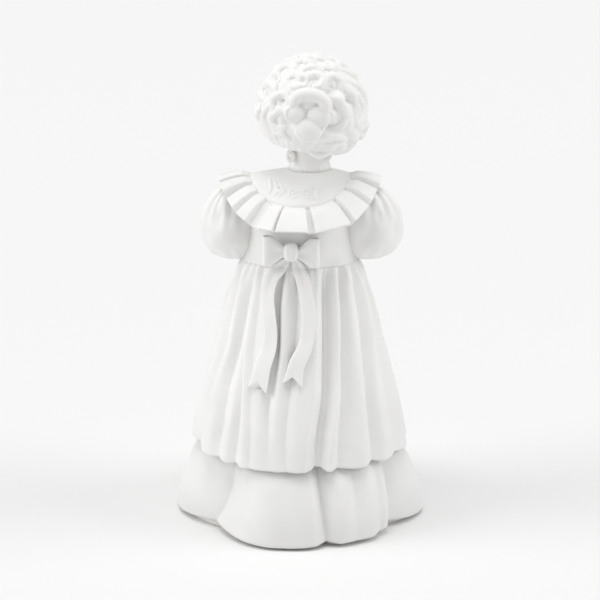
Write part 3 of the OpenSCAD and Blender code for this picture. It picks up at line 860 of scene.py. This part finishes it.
# Clasped hands: a finger's path as (x, y, rise), and the thumb's, for the hand whose fingers lie over
clasp = {
    "fingerZ": [104.7, 103.4, 102.15, 101.0],
    "reach": [0.94, 1.0, 0.98, 0.88],
    "over": (
        [(5.2, 28.4, 0.2), (3.1, 30.2, 0.1), (0.3, 31.0, -0.1), (-2.3, 30.5, -0.3), (-3.6, 29.1, -0.4)],
        [(5.6, 27.2, 105.0), (3.7, 28.2, 106.1), (1.8, 29.0, 106.3), (0.3, 29.3, 105.8)],
    ),
    "under": (
        [(5.2, 27.4, 0), (3.0, 28.7, -0.4), (0.4, 29.2, -0.6), (-2.0, 28.6, -0.8)],
        [(5.4, 26.6, 104.8), (3.6, 27.2, 105.8), (1.9, 27.5, 105.9), (0.6, 27.4, 105.4)],
    ),
}


def makeForearm(mirrored):
    bm = bmesh.new()

    def along(points, radii, sides=14, steps=None):
        rod(bm, [onArm(*p, mirrored) for p in points], radii, sides, steps)

    along([(-2.4, 0, 0), (8, 0, 0), (16, 0, 0.1), (armLength - 1, 0, 0.1)], [3.6, 3.45, 3.0, 2.35], 28, 24)
    # palm, four fingers clasped over or under the other hand's, and the thumb on top
    palm = [(armLength - 1.5, 0, 0), (armLength + 1.4, 0.1, -0.1), (armLength + 3.6, 0.1, -0.3)]
    along(palm, [2.3, 2.6, 2.3], 20, 10)
    flip = -1 if mirrored else 1
    fingers, thumb = clasp["under" if mirrored else "over"]
    for k, z in enumerate(clasp["fingerZ"]):
        reach = clasp["reach"][k]
        points = [Vector((flip * (5.2 + (x - 5.2) * reach), y, z + dz)) for x, y, dz in fingers]
        rod(bm, points, [0.88, 0.86, 0.8, 0.74, 0.6][: len(points)], 14, 16)
    rod(bm, [Vector((flip * x, y, z)) for x, y, z in thumb], [1.05, 0.95, 0.85, 0.68], 14, 12)
    name = "left" if mirrored else "right"
    finish("forearm_" + name + "_cast", bm, ["forearm_" + name], skinClay, fuse(0.26, 0.5, 3))


for mirrored in (False, True):
    makeSleeve(mirrored, 0 if mirrored else 0.7, 5 if mirrored else 11)
    makeCuff(mirrored)
    makeForearm(mirrored)
print("sleeves and arms made")

head = {
    "centre": Vector((4.2, 0.5, 150.6)),
    "tilt": 10.0,
    "eyeX": 4.9,
    "eyeZ": -2.0,
    "eyeR": 2.55,
    "lid": 0.42,
    "mouthZ": -10.2,
}
headTurn = Matrix.Rotation(math.radians(head["tilt"]), 3, "Y")


def onHead(x, y, z):
    return head["centre"] + headTurn @ Vector((x, y, z))


def blendMin(a, b, k):
    h = np.clip(0.5 + 0.5 * (b - a) / k, 0, 1)
    return b * (1 - h) + a * h - k * h * (1 - h)


def carve(a, b, k):
    return -blendMin(-a, b, k)


def ballAt(p, centre, r):
    return np.sqrt(((p - np.array(centre)) ** 2).sum(axis=1)) - r


def eggAt(p, centre, radii):
    radii = np.array(radii)
    q = (p - np.array(centre)) / radii
    long = np.sqrt((q * q).sum(axis=1))
    steep = np.sqrt(((q / radii) ** 2).sum(axis=1))
    return long * (long - 1) / np.maximum(steep, 1e-6)


def barAt(p, a, b, ra, rb):
    a, b = np.array(a, float), np.array(b, float)
    t = np.clip(((p - a) @ (b - a)) / ((b - a) @ (b - a)), 0, 1)
    return np.sqrt(((p - (a + t[:, None] * (b - a))) ** 2).sum(axis=1)) - (ra + (rb - ra) * t)


# Distance to the calm child's face, in head coordinates, mirrored about x = 0
def headField(p):
    q = p.copy()
    q[:, 0] = np.abs(q[:, 0])
    d = eggAt(q, (0, 1, 0.6), (13.7, 14.1, 14.1))
    d = blendMin(d, eggAt(q, (0, 5.6, -6.0), (9.9, 8.5, 9.4)), 3.2)
    d = blendMin(d, ballAt(q, (0, 10.3, -13.0), 2.7), 3.0)
    d = blendMin(d, ballAt(q, (5.7, 9.1, -7.2), 3.7), 3.4)
    d = blendMin(d, barAt(q, (0.9, 13.3, 2.6), (6.8, 11.0, 2.2), 1.2, 1.0), 1.8)
    # sockets, eyeballs and lids
    eye = (head["eyeX"], 11.0, head["eyeZ"])
    d = carve(d, eggAt(q, (head["eyeX"] - 0.1, 15.0, head["eyeZ"] + 0.1), (3.2, 2.3, 1.9)), 1.5)
    d = blendMin(d, ballAt(q, eye, head["eyeR"]), 0.35)
    for bow, low, thick in ((1.28, 0.62, head["lid"]), (-0.98, -0.75, head["lid"] * 0.72)):
        steps = 7
        arc = []
        for k in range(steps + 1):
            s = -1 + 2 * k / steps
            x = eye[0] + 2.35 * s
            z = eye[2] + bow * math.cos(s * 1.45) - 0.18
            away = max(0.1, (head["eyeR"] + 0.12) ** 2 - (x - eye[0]) ** 2 - (z - eye[2]) ** 2)
            arc.append((x, eye[1] + math.sqrt(away), z))
        for a, b in zip(arc, arc[1:]):
            d = blendMin(d, barAt(q, a, b, thick, thick), 0.28)
    # a fold above the upper lid
    d = carve(d, barAt(q, (2.9, 14.3, -0.2), (5.6, 14.1, 0.35), 0.22, 0.2), 0.35)
    # eyebrows
    d = blendMin(d, barAt(q, (2.5, 14.1, 1.5), (5.4, 13.6, 2.4), 0.32, 0.26), 0.6)
    d = blendMin(d, barAt(q, (5.4, 13.6, 2.4), (8.0, 11.6, 1.7), 0.26, 0.14), 0.6)
    # nose
    d = blendMin(d, barAt(q, (0, 13.5, 0.4), (0, 15.7, -5.4), 0.75, 1.15), 1.5)
    d = blendMin(d, ballAt(q, (0, 15.7, -5.9), 1.3), 0.8)
    d = blendMin(d, eggAt(q, (1.35, 14.6, -6.4), (0.95, 1.3, 0.85)), 0.55)
    d = carve(d, eggAt(q, (0.75, 15.4, -7.35), (0.42, 0.7, 0.4)), 0.25)
    # mouth
    z = head["mouthZ"]
    d = blendMin(d, eggAt(q, (0, 12.3, z), (3.5, 2.0, 2.3)), 1.6)
    d = carve(d, barAt(q, (0, 15.0, z + 1.75), (0, 15.2, z + 2.6), 0.3, 0.35), 0.6)
    d = blendMin(d, barAt(q, (0.5, 14.15, z + 0.62), (2.3, 13.15, z + 0.14), 0.62, 0.26), 0.45)
    d = blendMin(d, barAt(q, (0, 14.05, z - 0.82), (1.6, 13.45, z - 0.6), 0.78, 0.42), 0.45)
    d = carve(d, barAt(q, (0, 15.05, z - 0.04), (2.5, 13.75, z + 0.08), 0.24, 0.16), 0.34)
    d = carve(d, barAt(q, (0, 14.4, z - 2.25), (0.9, 14.0, z - 2.15), 0.4, 0.3), 0.9)
    # neck, in upright coordinates
    turn = np.array(headTurn)
    w = p @ turn.T + np.array(tuple(head["centre"]))
    rise = np.clip((w[:, 2] - 129) / 14, 0, 1)
    flare = 0.9 * np.clip(1 - (w[:, 2] - 129) / 3.2, 0, 1) ** 2
    neckR = torso["neckR"] - 0.5 * np.sin(rise * math.pi * 0.6) + flare
    across = np.sqrt((w[:, 0] - torso["neckX"]) ** 2 + w[:, 1] ** 2) - neckR
    neck = np.maximum(across, w[:, 2] - 146)
    d = blendMin(d, neck, 1.8)
    return np.maximum(d, 128.95 - w[:, 2])


def makeHead():
    bm = bmesh.new()
    made = bmesh.ops.create_icosphere(bm, subdivisions=7, radius=1)["verts"]
    start = np.array([0, 2.5, -3.5])
    # more of the mesh goes to the face
    ways = np.array([tuple((v.co.normalized() + Vector((0, 0.5, -0.08))).normalized()) for v in made])
    reach = np.full(len(ways), 9.0)
    for _ in range(70):
        d = headField(start + ways * reach[:, None])
        reach = np.clip(reach - d * 0.85, 2, 40)
    for vert, place in zip(made, start + ways * reach[:, None]):
        vert.co = onHead(*place)
    # spigot that sits in the yoke, with its vent
    rows = [(1.6, 123.4), (2.0, 123), (4.9, 123), (5.4, 123.5), (5.4, 129.4), (1.6, 129.4)]

    def spigot(row, azimuth):
        a = math.radians(azimuth)
        r, z = rows[row]
        return Vector((torso["neckX"] + r * math.sin(a), -r * math.cos(a), z))

    addMesh(bm, tube(len(rows), 96, spigot, closed=True))
    bmesh.ops.recalc_face_normals(bm, faces=bm.faces)
    return finish("head_cast", bm, ["head"], skinClay)


makeHead()
print("head made")

hair = {
    "centre": Vector((0, -1.5, 0)),
    "radius": 18.6,
    "curls": 150,
    "voxel": 0.36,
    "seed": 23,
}


# How far a direction from the hair's centre lies inside the opening for the face, 0 to 1
def onFace(way):
    # the opening is a tall oval looking forwards, and the throat below it
    up = math.degrees(math.asin(max(-1, min(1, way.z))))
    aside = math.degrees(math.atan2(way.x, way.y))
    wide = through(up, [-90, -62, -45, -20, 0, 20, 32, 90], [180, 62, 54, 50, 46, 34, 8, 0])
    if up > 40:
        return 0.0
    return ramp(wide - abs(aside), -4, 3)


def makeHairCap():
    bm = bmesh.new()
    made = bmesh.ops.create_icosphere(bm, subdivisions=7, radius=1)["verts"]
    for vert in made:
        way = vert.co.normalized()
        face = onFace(way)
        up = math.degrees(math.asin(max(-1, min(1, way.z))))
        # combed strands that run up to the knot of hair at the back
        aside = math.atan2(way.x, -way.y)
        comb = 0.13 * math.sin(aside * 34 + 2.2 * math.sin(way.z * 4) + 3 * noise.noise(way * 2.5))
        comb += 0.06 * math.sin(aside * 71 + 3 * math.sin(way.z * 5))
        comb *= ramp(math.cos(math.radians(up)), 0.2, 0.6)
        r = hair["radius"] + 0.15 + comb
        under = ramp(-up, 46, 60)
        r = r + (13.1 - r) * max(face, under)
        if way.y > 0 and face > 0.98:
            r = 12.6
        vert.co = onHead(*(hair["centre"] + way * r))
    bmesh.ops.recalc_face_normals(bm, faces=bm.faces)
    skin = fuse(hair["voxel"], 0.5, 1)
    return finish("hair_cap_cast", bm, ["hair_cap"], hairClay, skin, sinkHollows)


# Deep hollows between the locks: azimuth and height in degrees, how wide and how deep in millimetres
hairHollows = [
    (22, -9, 1.7, 2.2), (30, -9, 1.9, 1.5), (15, 31, 1.8, 1.8), (22, 33, 2.2, 1.3), (42, 23, 1.6, 1.6),
    (24, 14, 1.3, 1.2), (-26, -10, 1.5, 1.8), (-45, -1, 1.2, 1.2), (-37, 12, 1.2, 1.2), (-20, 36, 1.2, 1.4),
    (60, 22, 1.4, 1.3), (22, -34, 1.5, 1.1), (41, -31, 1.4, 1.1), (-34, -31, 1.2, 1.0), (-68, 10, 1.3, 1.2),
    (-62, 30, 1.4, 1.2),
]


# Sinks the hollows into the hair and gives it a modelled, slightly uneven skin
def sinkHollows(point):
    local = headTurn.transposed() @ (point - head["centre"]) - hair["centre"]
    reach = local.length
    way = local / reach
    sink = 0
    for azimuth, height, wide, deep in hairHollows:
        away = (way - headWay(azimuth, height)).length * reach / wide
        if away < 3:
            sink += deep * math.exp(-away * away)
    grain = 0.1 * noise.noise(point / 1.3) + 0.05 * noise.noise(point / 0.6)
    return point - headTurn @ way * (sink - grain)


# A direction on the head: azimuth from the middle of her back towards +X, and height above level
def headWay(azimuth, height):
    a, h = math.radians(azimuth), math.radians(height)
    return Vector((math.sin(a) * math.cos(h), -math.cos(a) * math.cos(h), math.sin(h)))


# Adds a lock that lies over the hair along these directions, and is tucked in at both ends
def addLock(bm, ways, thick, proud=1.7):
    points, radii = [], []
    last = len(ways) - 1
    for k, way in enumerate(ways):
        swell = 0.62 + 0.38 * math.sin(math.pi * (k + 0.6) / (last + 1.2))
        radius = thick * swell
        lift = hair["radius"] + proud * swell - radius - (0.5 if k in (0, last) else 0)
        points.append(onHead(*(hair["centre"] + way.normalized() * lift)))
        radii.append(radius)
    rod(bm, points, radii, 12, max(12, last * 7))


# Listed locks: path as (azimuth, height) in degrees, then thickness in millimetres
laidLocks = [
    ([(17, 33), (27, 25), (36, 13), (43, 1), (51, -9)], 3.0),
    ([(33, 42), (47, 32), (56, 20), (53, 9)], 2.5),
    ([(66, 28), (74, 14), (68, 2), (58, -3), (54, 6)], 2.1),
    ([(46, -7), (60, -15), (75, -24), (74, -36), (58, -43)], 2.9),
    ([(86, 14), (88, 2), (80, -9), (70, -6)], 1.8),
    ([(36, -44), (24, -47), (10, -46)], 1.8),
    ([(8, -26), (19, -18), (33, -16), (48, -22)], 1.6),
    ([(17, -33), (32, -32), (48, -30), (62, -36)], 2.1),
    ([(22, -13), (33, -7), (38, 4), (31, 11)], 1.4),
    ([(52, 46), (78, 36), (92, 19), (90, 3), (82, -6)], 2.2),
    ([(-43, 36), (-36, 43), (-25, 41), (-21, 32), (-31, 28)], 1.8),
    ([(-16, 32), (-17, 42), (-6, 48), (6, 45), (5, 36), (-4, 33)], 1.7),
    ([(12, 45), (23, 50), (36, 44), (33, 36)], 1.8),
    ([(-72, 4), (-84, 14), (-70, 23), (-54, 21), (-52, 13)], 1.5),
    ([(-45, -1), (-50, 9), (-39, 17), (-27, 12)], 1.6),
    ([(-29, 1), (-42, -2), (-48, -13), (-40, -21), (-29, -17)], 2.0),
    ([(-57, 0), (-63, -12), (-58, -25), (-46, -34)], 1.8),
    ([(-45, -27), (-33, -24), (-25, -30)], 1.4),
    ([(-78, -22), (-72, -32), (-58, -36)], 1.6),
    ([(-56, 30), (-72, 38), (-68, 49), (-51, 51), (-45, 44)], 1.7),
    ([(-98, 26), (-97, 38), (-82, 38), (-78, 29)], 1.7),
    ([(-30, 53), (-14, 58), (2, 57)], 1.7),
    ([(50, 62), (80, 54), (104, 46), (112, 34)], 2.1),
]


def makeHairCurls():
    bm = bmesh.new()
    rng = random.Random(hair["seed"])
    for path, thick in laidLocks:
        addLock(bm, [headWay(*where) for where in path], thick)
    # two small curls that stand off the outline
    addLock(bm, [headWay(*w) for w in ((80, -9), (88, -5), (94, -12), (88, -19), (80, -16))], 1.5, 2.9)
    addLock(bm, [headWay(*w) for w in ((-88, 0), (-94, -10), (-84, -16), (-76, -9), (-82, -3))], 1.5, 2.0)
    # looser curls cover the front, the sides and the crown between them
    golden = math.radians(137.508)
    laid = [headWay(*where) for path, _ in laidLocks for where in path]
    count = hair["curls"]
    for i in range(count):
        z = 1 - 1.62 * (i + 0.5) / count
        a = i * golden
        flat = math.sqrt(1 - z * z)
        way = Vector((math.sin(a) * flat, -math.cos(a) * flat, z))
        if onFace(way) > 0.2 or (way.y < -0.55 and way.z < 0.6):
            continue
        if min((way - other).length for other in laid) < 0.17:
            continue
        side = (Matrix.Rotation(rng.uniform(0, 6.3), 3, way) @ way.orthogonal()).normalized()
        up = way.cross(side)
        size, sweep = rng.uniform(0.115, 0.15), rng.uniform(3.6, 5.4)
        turn = rng.choice((-1, 1))
        ways = []
        for k in range(7):
            angle = sweep * k / 6
            r = size * (1 - 0.45 * k / 6)
            ways.append(way + side * r * math.cos(angle) + up * r * math.sin(angle) * turn)
        addLock(bm, ways, rng.uniform(1.35, 1.75), 1.6)
    skin = fuse(hair["voxel"], 0.5, 4)
    return finish("hair_curls_cast", bm, ["hair_curls"], hairClay, skin, sinkHollows)


makeHairCap()
makeHairCurls()

# The knot of hair at the back, in head coordinates: paths as (x, z), their radius and how far back they lie
knotOfHair = {
    "arch": [(-7.2, 2.4), (-7.0, 5.0), (-5.0, 7.0), (-1.6, 7.7), (1.9, 7.1), (3.7, 5.0), (4.4, 2.4)],
    "archR": [1.6, 2.2, 2.4, 2.5, 2.4, 2.2, 1.5],
    "rightRim": [(4.6, 3.4), (5.3, 0.8), (4.8, -1.6), (4.0, -3.4)],
    # centre x and z, size x, y and z, and where its rolled edge starts and ends in degrees
    "lobes": [
        (-6.2, 0.2, 4.1, 3.3, 3.9, 80, 290),
        (1.5, 0.8, 4.2, 3.3, 4.0, -110, 120),
        (-0.6, -4.4, 5.6, 3.9, 4.9, 175, 380),
    ],
    "lean": 19.4,
}


def makeChignon():
    bm = bmesh.new()
    lean = knotOfHair["lean"]
    rod(bm, [onHead(x, -lean - 0.3, z) for x, z in knotOfHair["arch"]], knotOfHair["archR"], 16, 48)
    rod(bm, [onHead(x, -lean - 0.8, z) for x, z in knotOfHair["rightRim"]], [0.9, 1.1, 1.1, 0.8], 12, 24)
    ball(bm, onHead(-2.0, -lean + 1.2, 4.6), (3.6, 2.4, 2.6))
    for x, z, wide, deep, tall, start, end in knotOfHair["lobes"]:
        ball(bm, onHead(x, -lean + 0.6, z), (wide * 0.94, deep, tall * 0.94), (0, math.radians(10), 0), 4)
        points = []
        for k in range(13):
            a = math.radians(start + (end - start) * k / 12)
            points.append(onHead(x + wide * 0.72 * math.cos(a), -lean - 1.35, z + tall * 0.72 * math.sin(a)))
        rod(bm, points, [0.45 + 0.4 * math.sin(math.pi * k / 12) for k in range(13)], 12, 36)
    return finish("chignon_cast", bm, ["chignon"], hairClay, fuse(0.28, 0.5, 5))


makeChignon()


def makeNapeCurls():
    bm = bmesh.new()
    for side, size, depth in ((-1, 1.0, -5.4), (1, 0.8, -3.6)):
        points, radii = [Vector((torso["neckX"] + side * 6.0, depth - 0.2, 137.6))], [0.8]
        for k in range(17):
            s = k / 16
            a = math.radians(100 - side * 400 * s)
            r = (1.75 - 1.3 * s) * size
            x = torso["neckX"] + side * 6.5 + r * math.cos(a) * 0.85
            points.append(Vector((x, depth - 0.5 * s, 134.4 + r * math.sin(a) * 1.2)))
            radii.append((0.62 + 0.3 * math.sin(math.pi * s)) * size)
        rod(bm, points, radii, 12, 64)
        ball(bm, Vector((torso["neckX"] + side * 6.3, depth + 0.5, 134.4)), (1.6 * size, 1.0, 2.0 * size))
    return finish("nape_curls_cast", bm, ["nape_curls"], hairClay, fuse(0.2, 0.5, 2))


makeNapeCurls()
print("hair made")

bow = {
    "knot": Vector((-3.2, -19.3, 102.6)),
    "width": 4.6,
    "thickness": 1.2,
    "loopReach": 8.3,
    "loopDeep": 2.8,
}


def makeKnot():
    bm = bmesh.new()
    made = bmesh.ops.create_uvsphere(bm, u_segments=72, v_segments=48, radius=1)["verts"]
    for vert in made:
        x, y, z = vert.co
        square = (abs(x) ** 2.6 + abs(y) ** 2.6 + abs(z) ** 2.6) ** (1 / 2.6)
        x, y, z = x / square, y / square, z / square
        pinch = 1 + 0.06 * z * z
        crease = 0.16 * math.exp(-(((x - 0.35 - 0.1 * z) / 0.13) ** 2))
        crease += 0.12 * math.exp(-(((x + 0.3 + 0.12 * z) / 0.12) ** 2))
        vert.co = bow["knot"] + Vector((x * 2.6 * pinch, y * (2.5 - 1.6 * crease * (y < 0)), z * 3.4))
    bmesh.ops.recalc_face_normals(bm, faces=bm.faces)
    finish("bow_knot_cast", bm, ["bow_knot"], ribbonClay)


# A ribbon loop standing out from the knot: side is -1 for her left
def makeLoop(side, drop):
    rows = 28

    def place(row, azimuth):
        a = math.radians(azimuth)
        share = (1 - math.cos(a)) / 2  # 0 at the knot, 1 at the outer turn
        reach = bow["loopReach"] * share ** 0.9
        deep = bow["loopDeep"] * math.sin(a) * (0.1 + 0.9 * share**2.4)
        low = bow["knot"].z - 1.6 - drop - 3.0 * ramp(share, 0.05, 0.75)
        high = bow["knot"].z + 2.2 - drop + 3.7 * ramp(share, 0.05, 0.7)
        b = 2 * math.pi * row / rows
        # a flat stadium: up the outside of the ribbon and down its inside
        v = 0.5 - 0.5 * math.cos(b)
        layer = math.copysign(abs(math.sin(b)) ** 0.35, math.sin(b)) * bow["thickness"] * 0.5
        curl = 0.35 * math.sin(math.pi * v) * math.sin(a)
        crease = 0.5 * math.sin(math.pi * 3 * v + 0.6) * (1 - share) ** 1.2 * math.sin(a)
        out = Vector((side * (0.12 - math.cos(a)) * 0.9, math.sin(a), 0)).normalized()
        x = bow["knot"].x + side * (1.4 + reach)
        y = -18.75 + 0.05 * reach + deep + curl + crease
        point = Vector((x, y, low + (high - low) * v + 0.3 * math.sin(math.pi * share) * (v - 0.5)))
        return point + out * layer

    bm = tube(rows, 160, place, closed=True)
    name = "left" if side < 0 else "right"
    finish("bow_loop_" + name + "_cast", bm, ["bow_loop_" + name], ribbonClay)


tails = {
    "left": [
        (-4.6, 99.2), (-7, 96.6), (-10, 93), (-11.6, 87), (-11, 80.5), (-10.4, 74), (-11, 69), (-13, 63.5),
        (-15.2, 56),
    ],
    "right": [
        (-1.8, 99.2), (-0.6, 96.6), (0.8, 93), (2.2, 87), (3.2, 80.5), (2.8, 74), (1.4, 69), (-1.1, 64),
        (-2.6, 58.5),
    ],
}


def gownBack(x, z):
    crest = through(z, gown["crestZ"], gown["crestR"])
    return -depthShare(z) * math.sqrt(max(0, crest * crest - x * x))


def makeTail(name, swing):
    path = tails[name]
    places = [k / (len(path) - 1) for k in range(len(path))]
    rows, half = 32, bow["width"] / 2
    bm = bmesh.new()
    steps = 110
    line = list(bmesh.ops.create_circle(bm, segments=rows, radius=1, cap_ends=False)["verts"])
    for k in range(steps + 1):
        s = k / steps
        x, z = through(s, places, [p[0] for p in path]), through(s, places, [p[1] for p in path])
        x1 = through(min(1, s + 0.01), places, [p[0] for p in path])
        z1 = through(min(1, s + 0.01), places, [p[1] for p in path])
        x0 = through(max(0, s - 0.01), places, [p[0] for p in path])
        z0 = through(max(0, s - 0.01), places, [p[1] for p in path])
        along = Vector((x1 - x0, 0, z1 - z0)).normalized()
        across = Vector((-along.z, 0, along.x))
        wide = half * through(s, [0, 0.08, 0.2, 0.6, 0.85, 1], [0.5, 0.85, 1.05, 1.05, 1.2, 1.5])
        if k:
            line = growRing(bm, line)
        for i, v in enumerate(line):
            b = 2 * math.pi * i / rows
            u = math.copysign(abs(math.cos(b)) ** 0.8, math.cos(b))
            top = math.sin(b) > 0
            layer = abs(math.sin(b)) ** 0.5 * bow["thickness"] * 0.5 * (1 if top else -1)
            px = x + across.x * u * wide
            pz = z + across.z * u * wide
            # swallow-tail end
            pz -= 3.0 * ramp(s, 0.86, 1) * (abs(u) - 0.5)
            y = min(gownBack(px - 1, pz), gownBack(px, pz), gownBack(px + 1, pz)) - 0.75
            bend = 0.42 * math.sin(s * 15 + swing + u * 0.8) * ramp(s, 0.1, 0.3)
            groove = -0.4 * math.exp(-((u / 0.3) ** 2)) * (1 - ramp(s, 0.25, 0.5)) + 0.22 * abs(u) ** 2
            # the underside is luted down into the folds of the skirt
            y += 0.35 - layer - (bend * 0.5 + groove if top else -1.5)
            v.co = Vector((px, y, pz))
        if k in (0, steps):
            bm.faces.new(line)  # one face closes each end
    bmesh.ops.recalc_face_normals(bm, faces=bm.faces)
    finish("ribbon_tail_" + name + "_cast", bm, ["ribbon_tail_" + name], ribbonClay)


makeKnot()
makeLoop(-1, 0.2)
makeLoop(1, 1.0)
makeTail("left", 0.4)
makeTail("right", 1.9)
print("bow made")

studio = {
    "floorColour": (0.82, 0.82, 0.818, 1),
    "world": 0.46,
    "backdrop": 0.93,
}


def makeStudio():
    bm = bmesh.new()
    bmesh.ops.create_grid(bm, x_segments=1, y_segments=1, size=6)
    mesh = bpy.data.meshes.new("floor")
    bm.to_mesh(mesh)
    bm.free()
    floor = bpy.data.objects.new("floor", mesh)
    bpy.context.scene.collection.objects.link(floor)
    mat = bpy.data.materials.new("paleFloor")
    mat.use_nodes = True
    skin = mat.node_tree.nodes["Principled BSDF"]
    skin.inputs["Base Color"].default_value = studio["floorColour"]
    skin.inputs["Roughness"].default_value = 0.75
    floor.data.materials.append(mat)

    world = bpy.data.worlds.new("softWhite")
    world.use_nodes = True
    background = world.node_tree.nodes["Background"]
    background.inputs["Color"].default_value = (1, 1, 1, 1)
    rays = world.node_tree.nodes.new("ShaderNodeLightPath")
    seen = world.node_tree.nodes.new("ShaderNodeMapRange")
    seen.inputs["To Min"].default_value = studio["world"]
    seen.inputs["To Max"].default_value = studio["backdrop"]
    world.node_tree.links.new(rays.outputs["Is Camera Ray"], seen.inputs["Value"])
    world.node_tree.links.new(seen.outputs["Result"], background.inputs["Strength"])
    bpy.context.scene.world = world

    # name, strength, spread in degrees, azimuth and height of where each light comes from
    lamps = [
        ("topLight", 1.18, 36, -40, 84),
        ("leftLight", 1.16, 42, -80, 28),
        ("rightLight", 0.95, 42, 84, 30),
    ]
    for name, strength, spread, azimuth, height in lamps:
        lamp = bpy.data.lights.new(name, "SUN")
        lamp.energy = strength
        lamp.angle = math.radians(spread)
        holder = bpy.data.objects.new(name, lamp)
        a, h = math.radians(azimuth), math.radians(height)
        way = Vector((math.sin(a) * math.cos(h), -math.cos(a) * math.cos(h), math.sin(h)))
        holder.location = way * 2
        holder.rotation_euler = (-way).to_track_quat("-Z", "Y").to_euler()
        bpy.context.scene.collection.objects.link(holder)


makeStudio()

view = {"place": (0, -0.6761, 0.2612), "aim": (0, 0, 0.080), "lens": 114.9}
camera = bpy.data.cameras.new("camera")
camera.lens = view["lens"]
camera.sensor_width = 36
camera.clip_start = 0.01
holder = bpy.data.objects.new("camera", camera)
holder.location = view["place"]
holder.rotation_euler = (Vector(view["aim"]) - Vector(view["place"])).to_track_quat("-Z", "Y").to_euler()
bpy.context.scene.collection.objects.link(holder)
bpy.context.scene.camera = holder
bpy.context.scene.view_settings.view_transform = "Standard"
print("studio made")
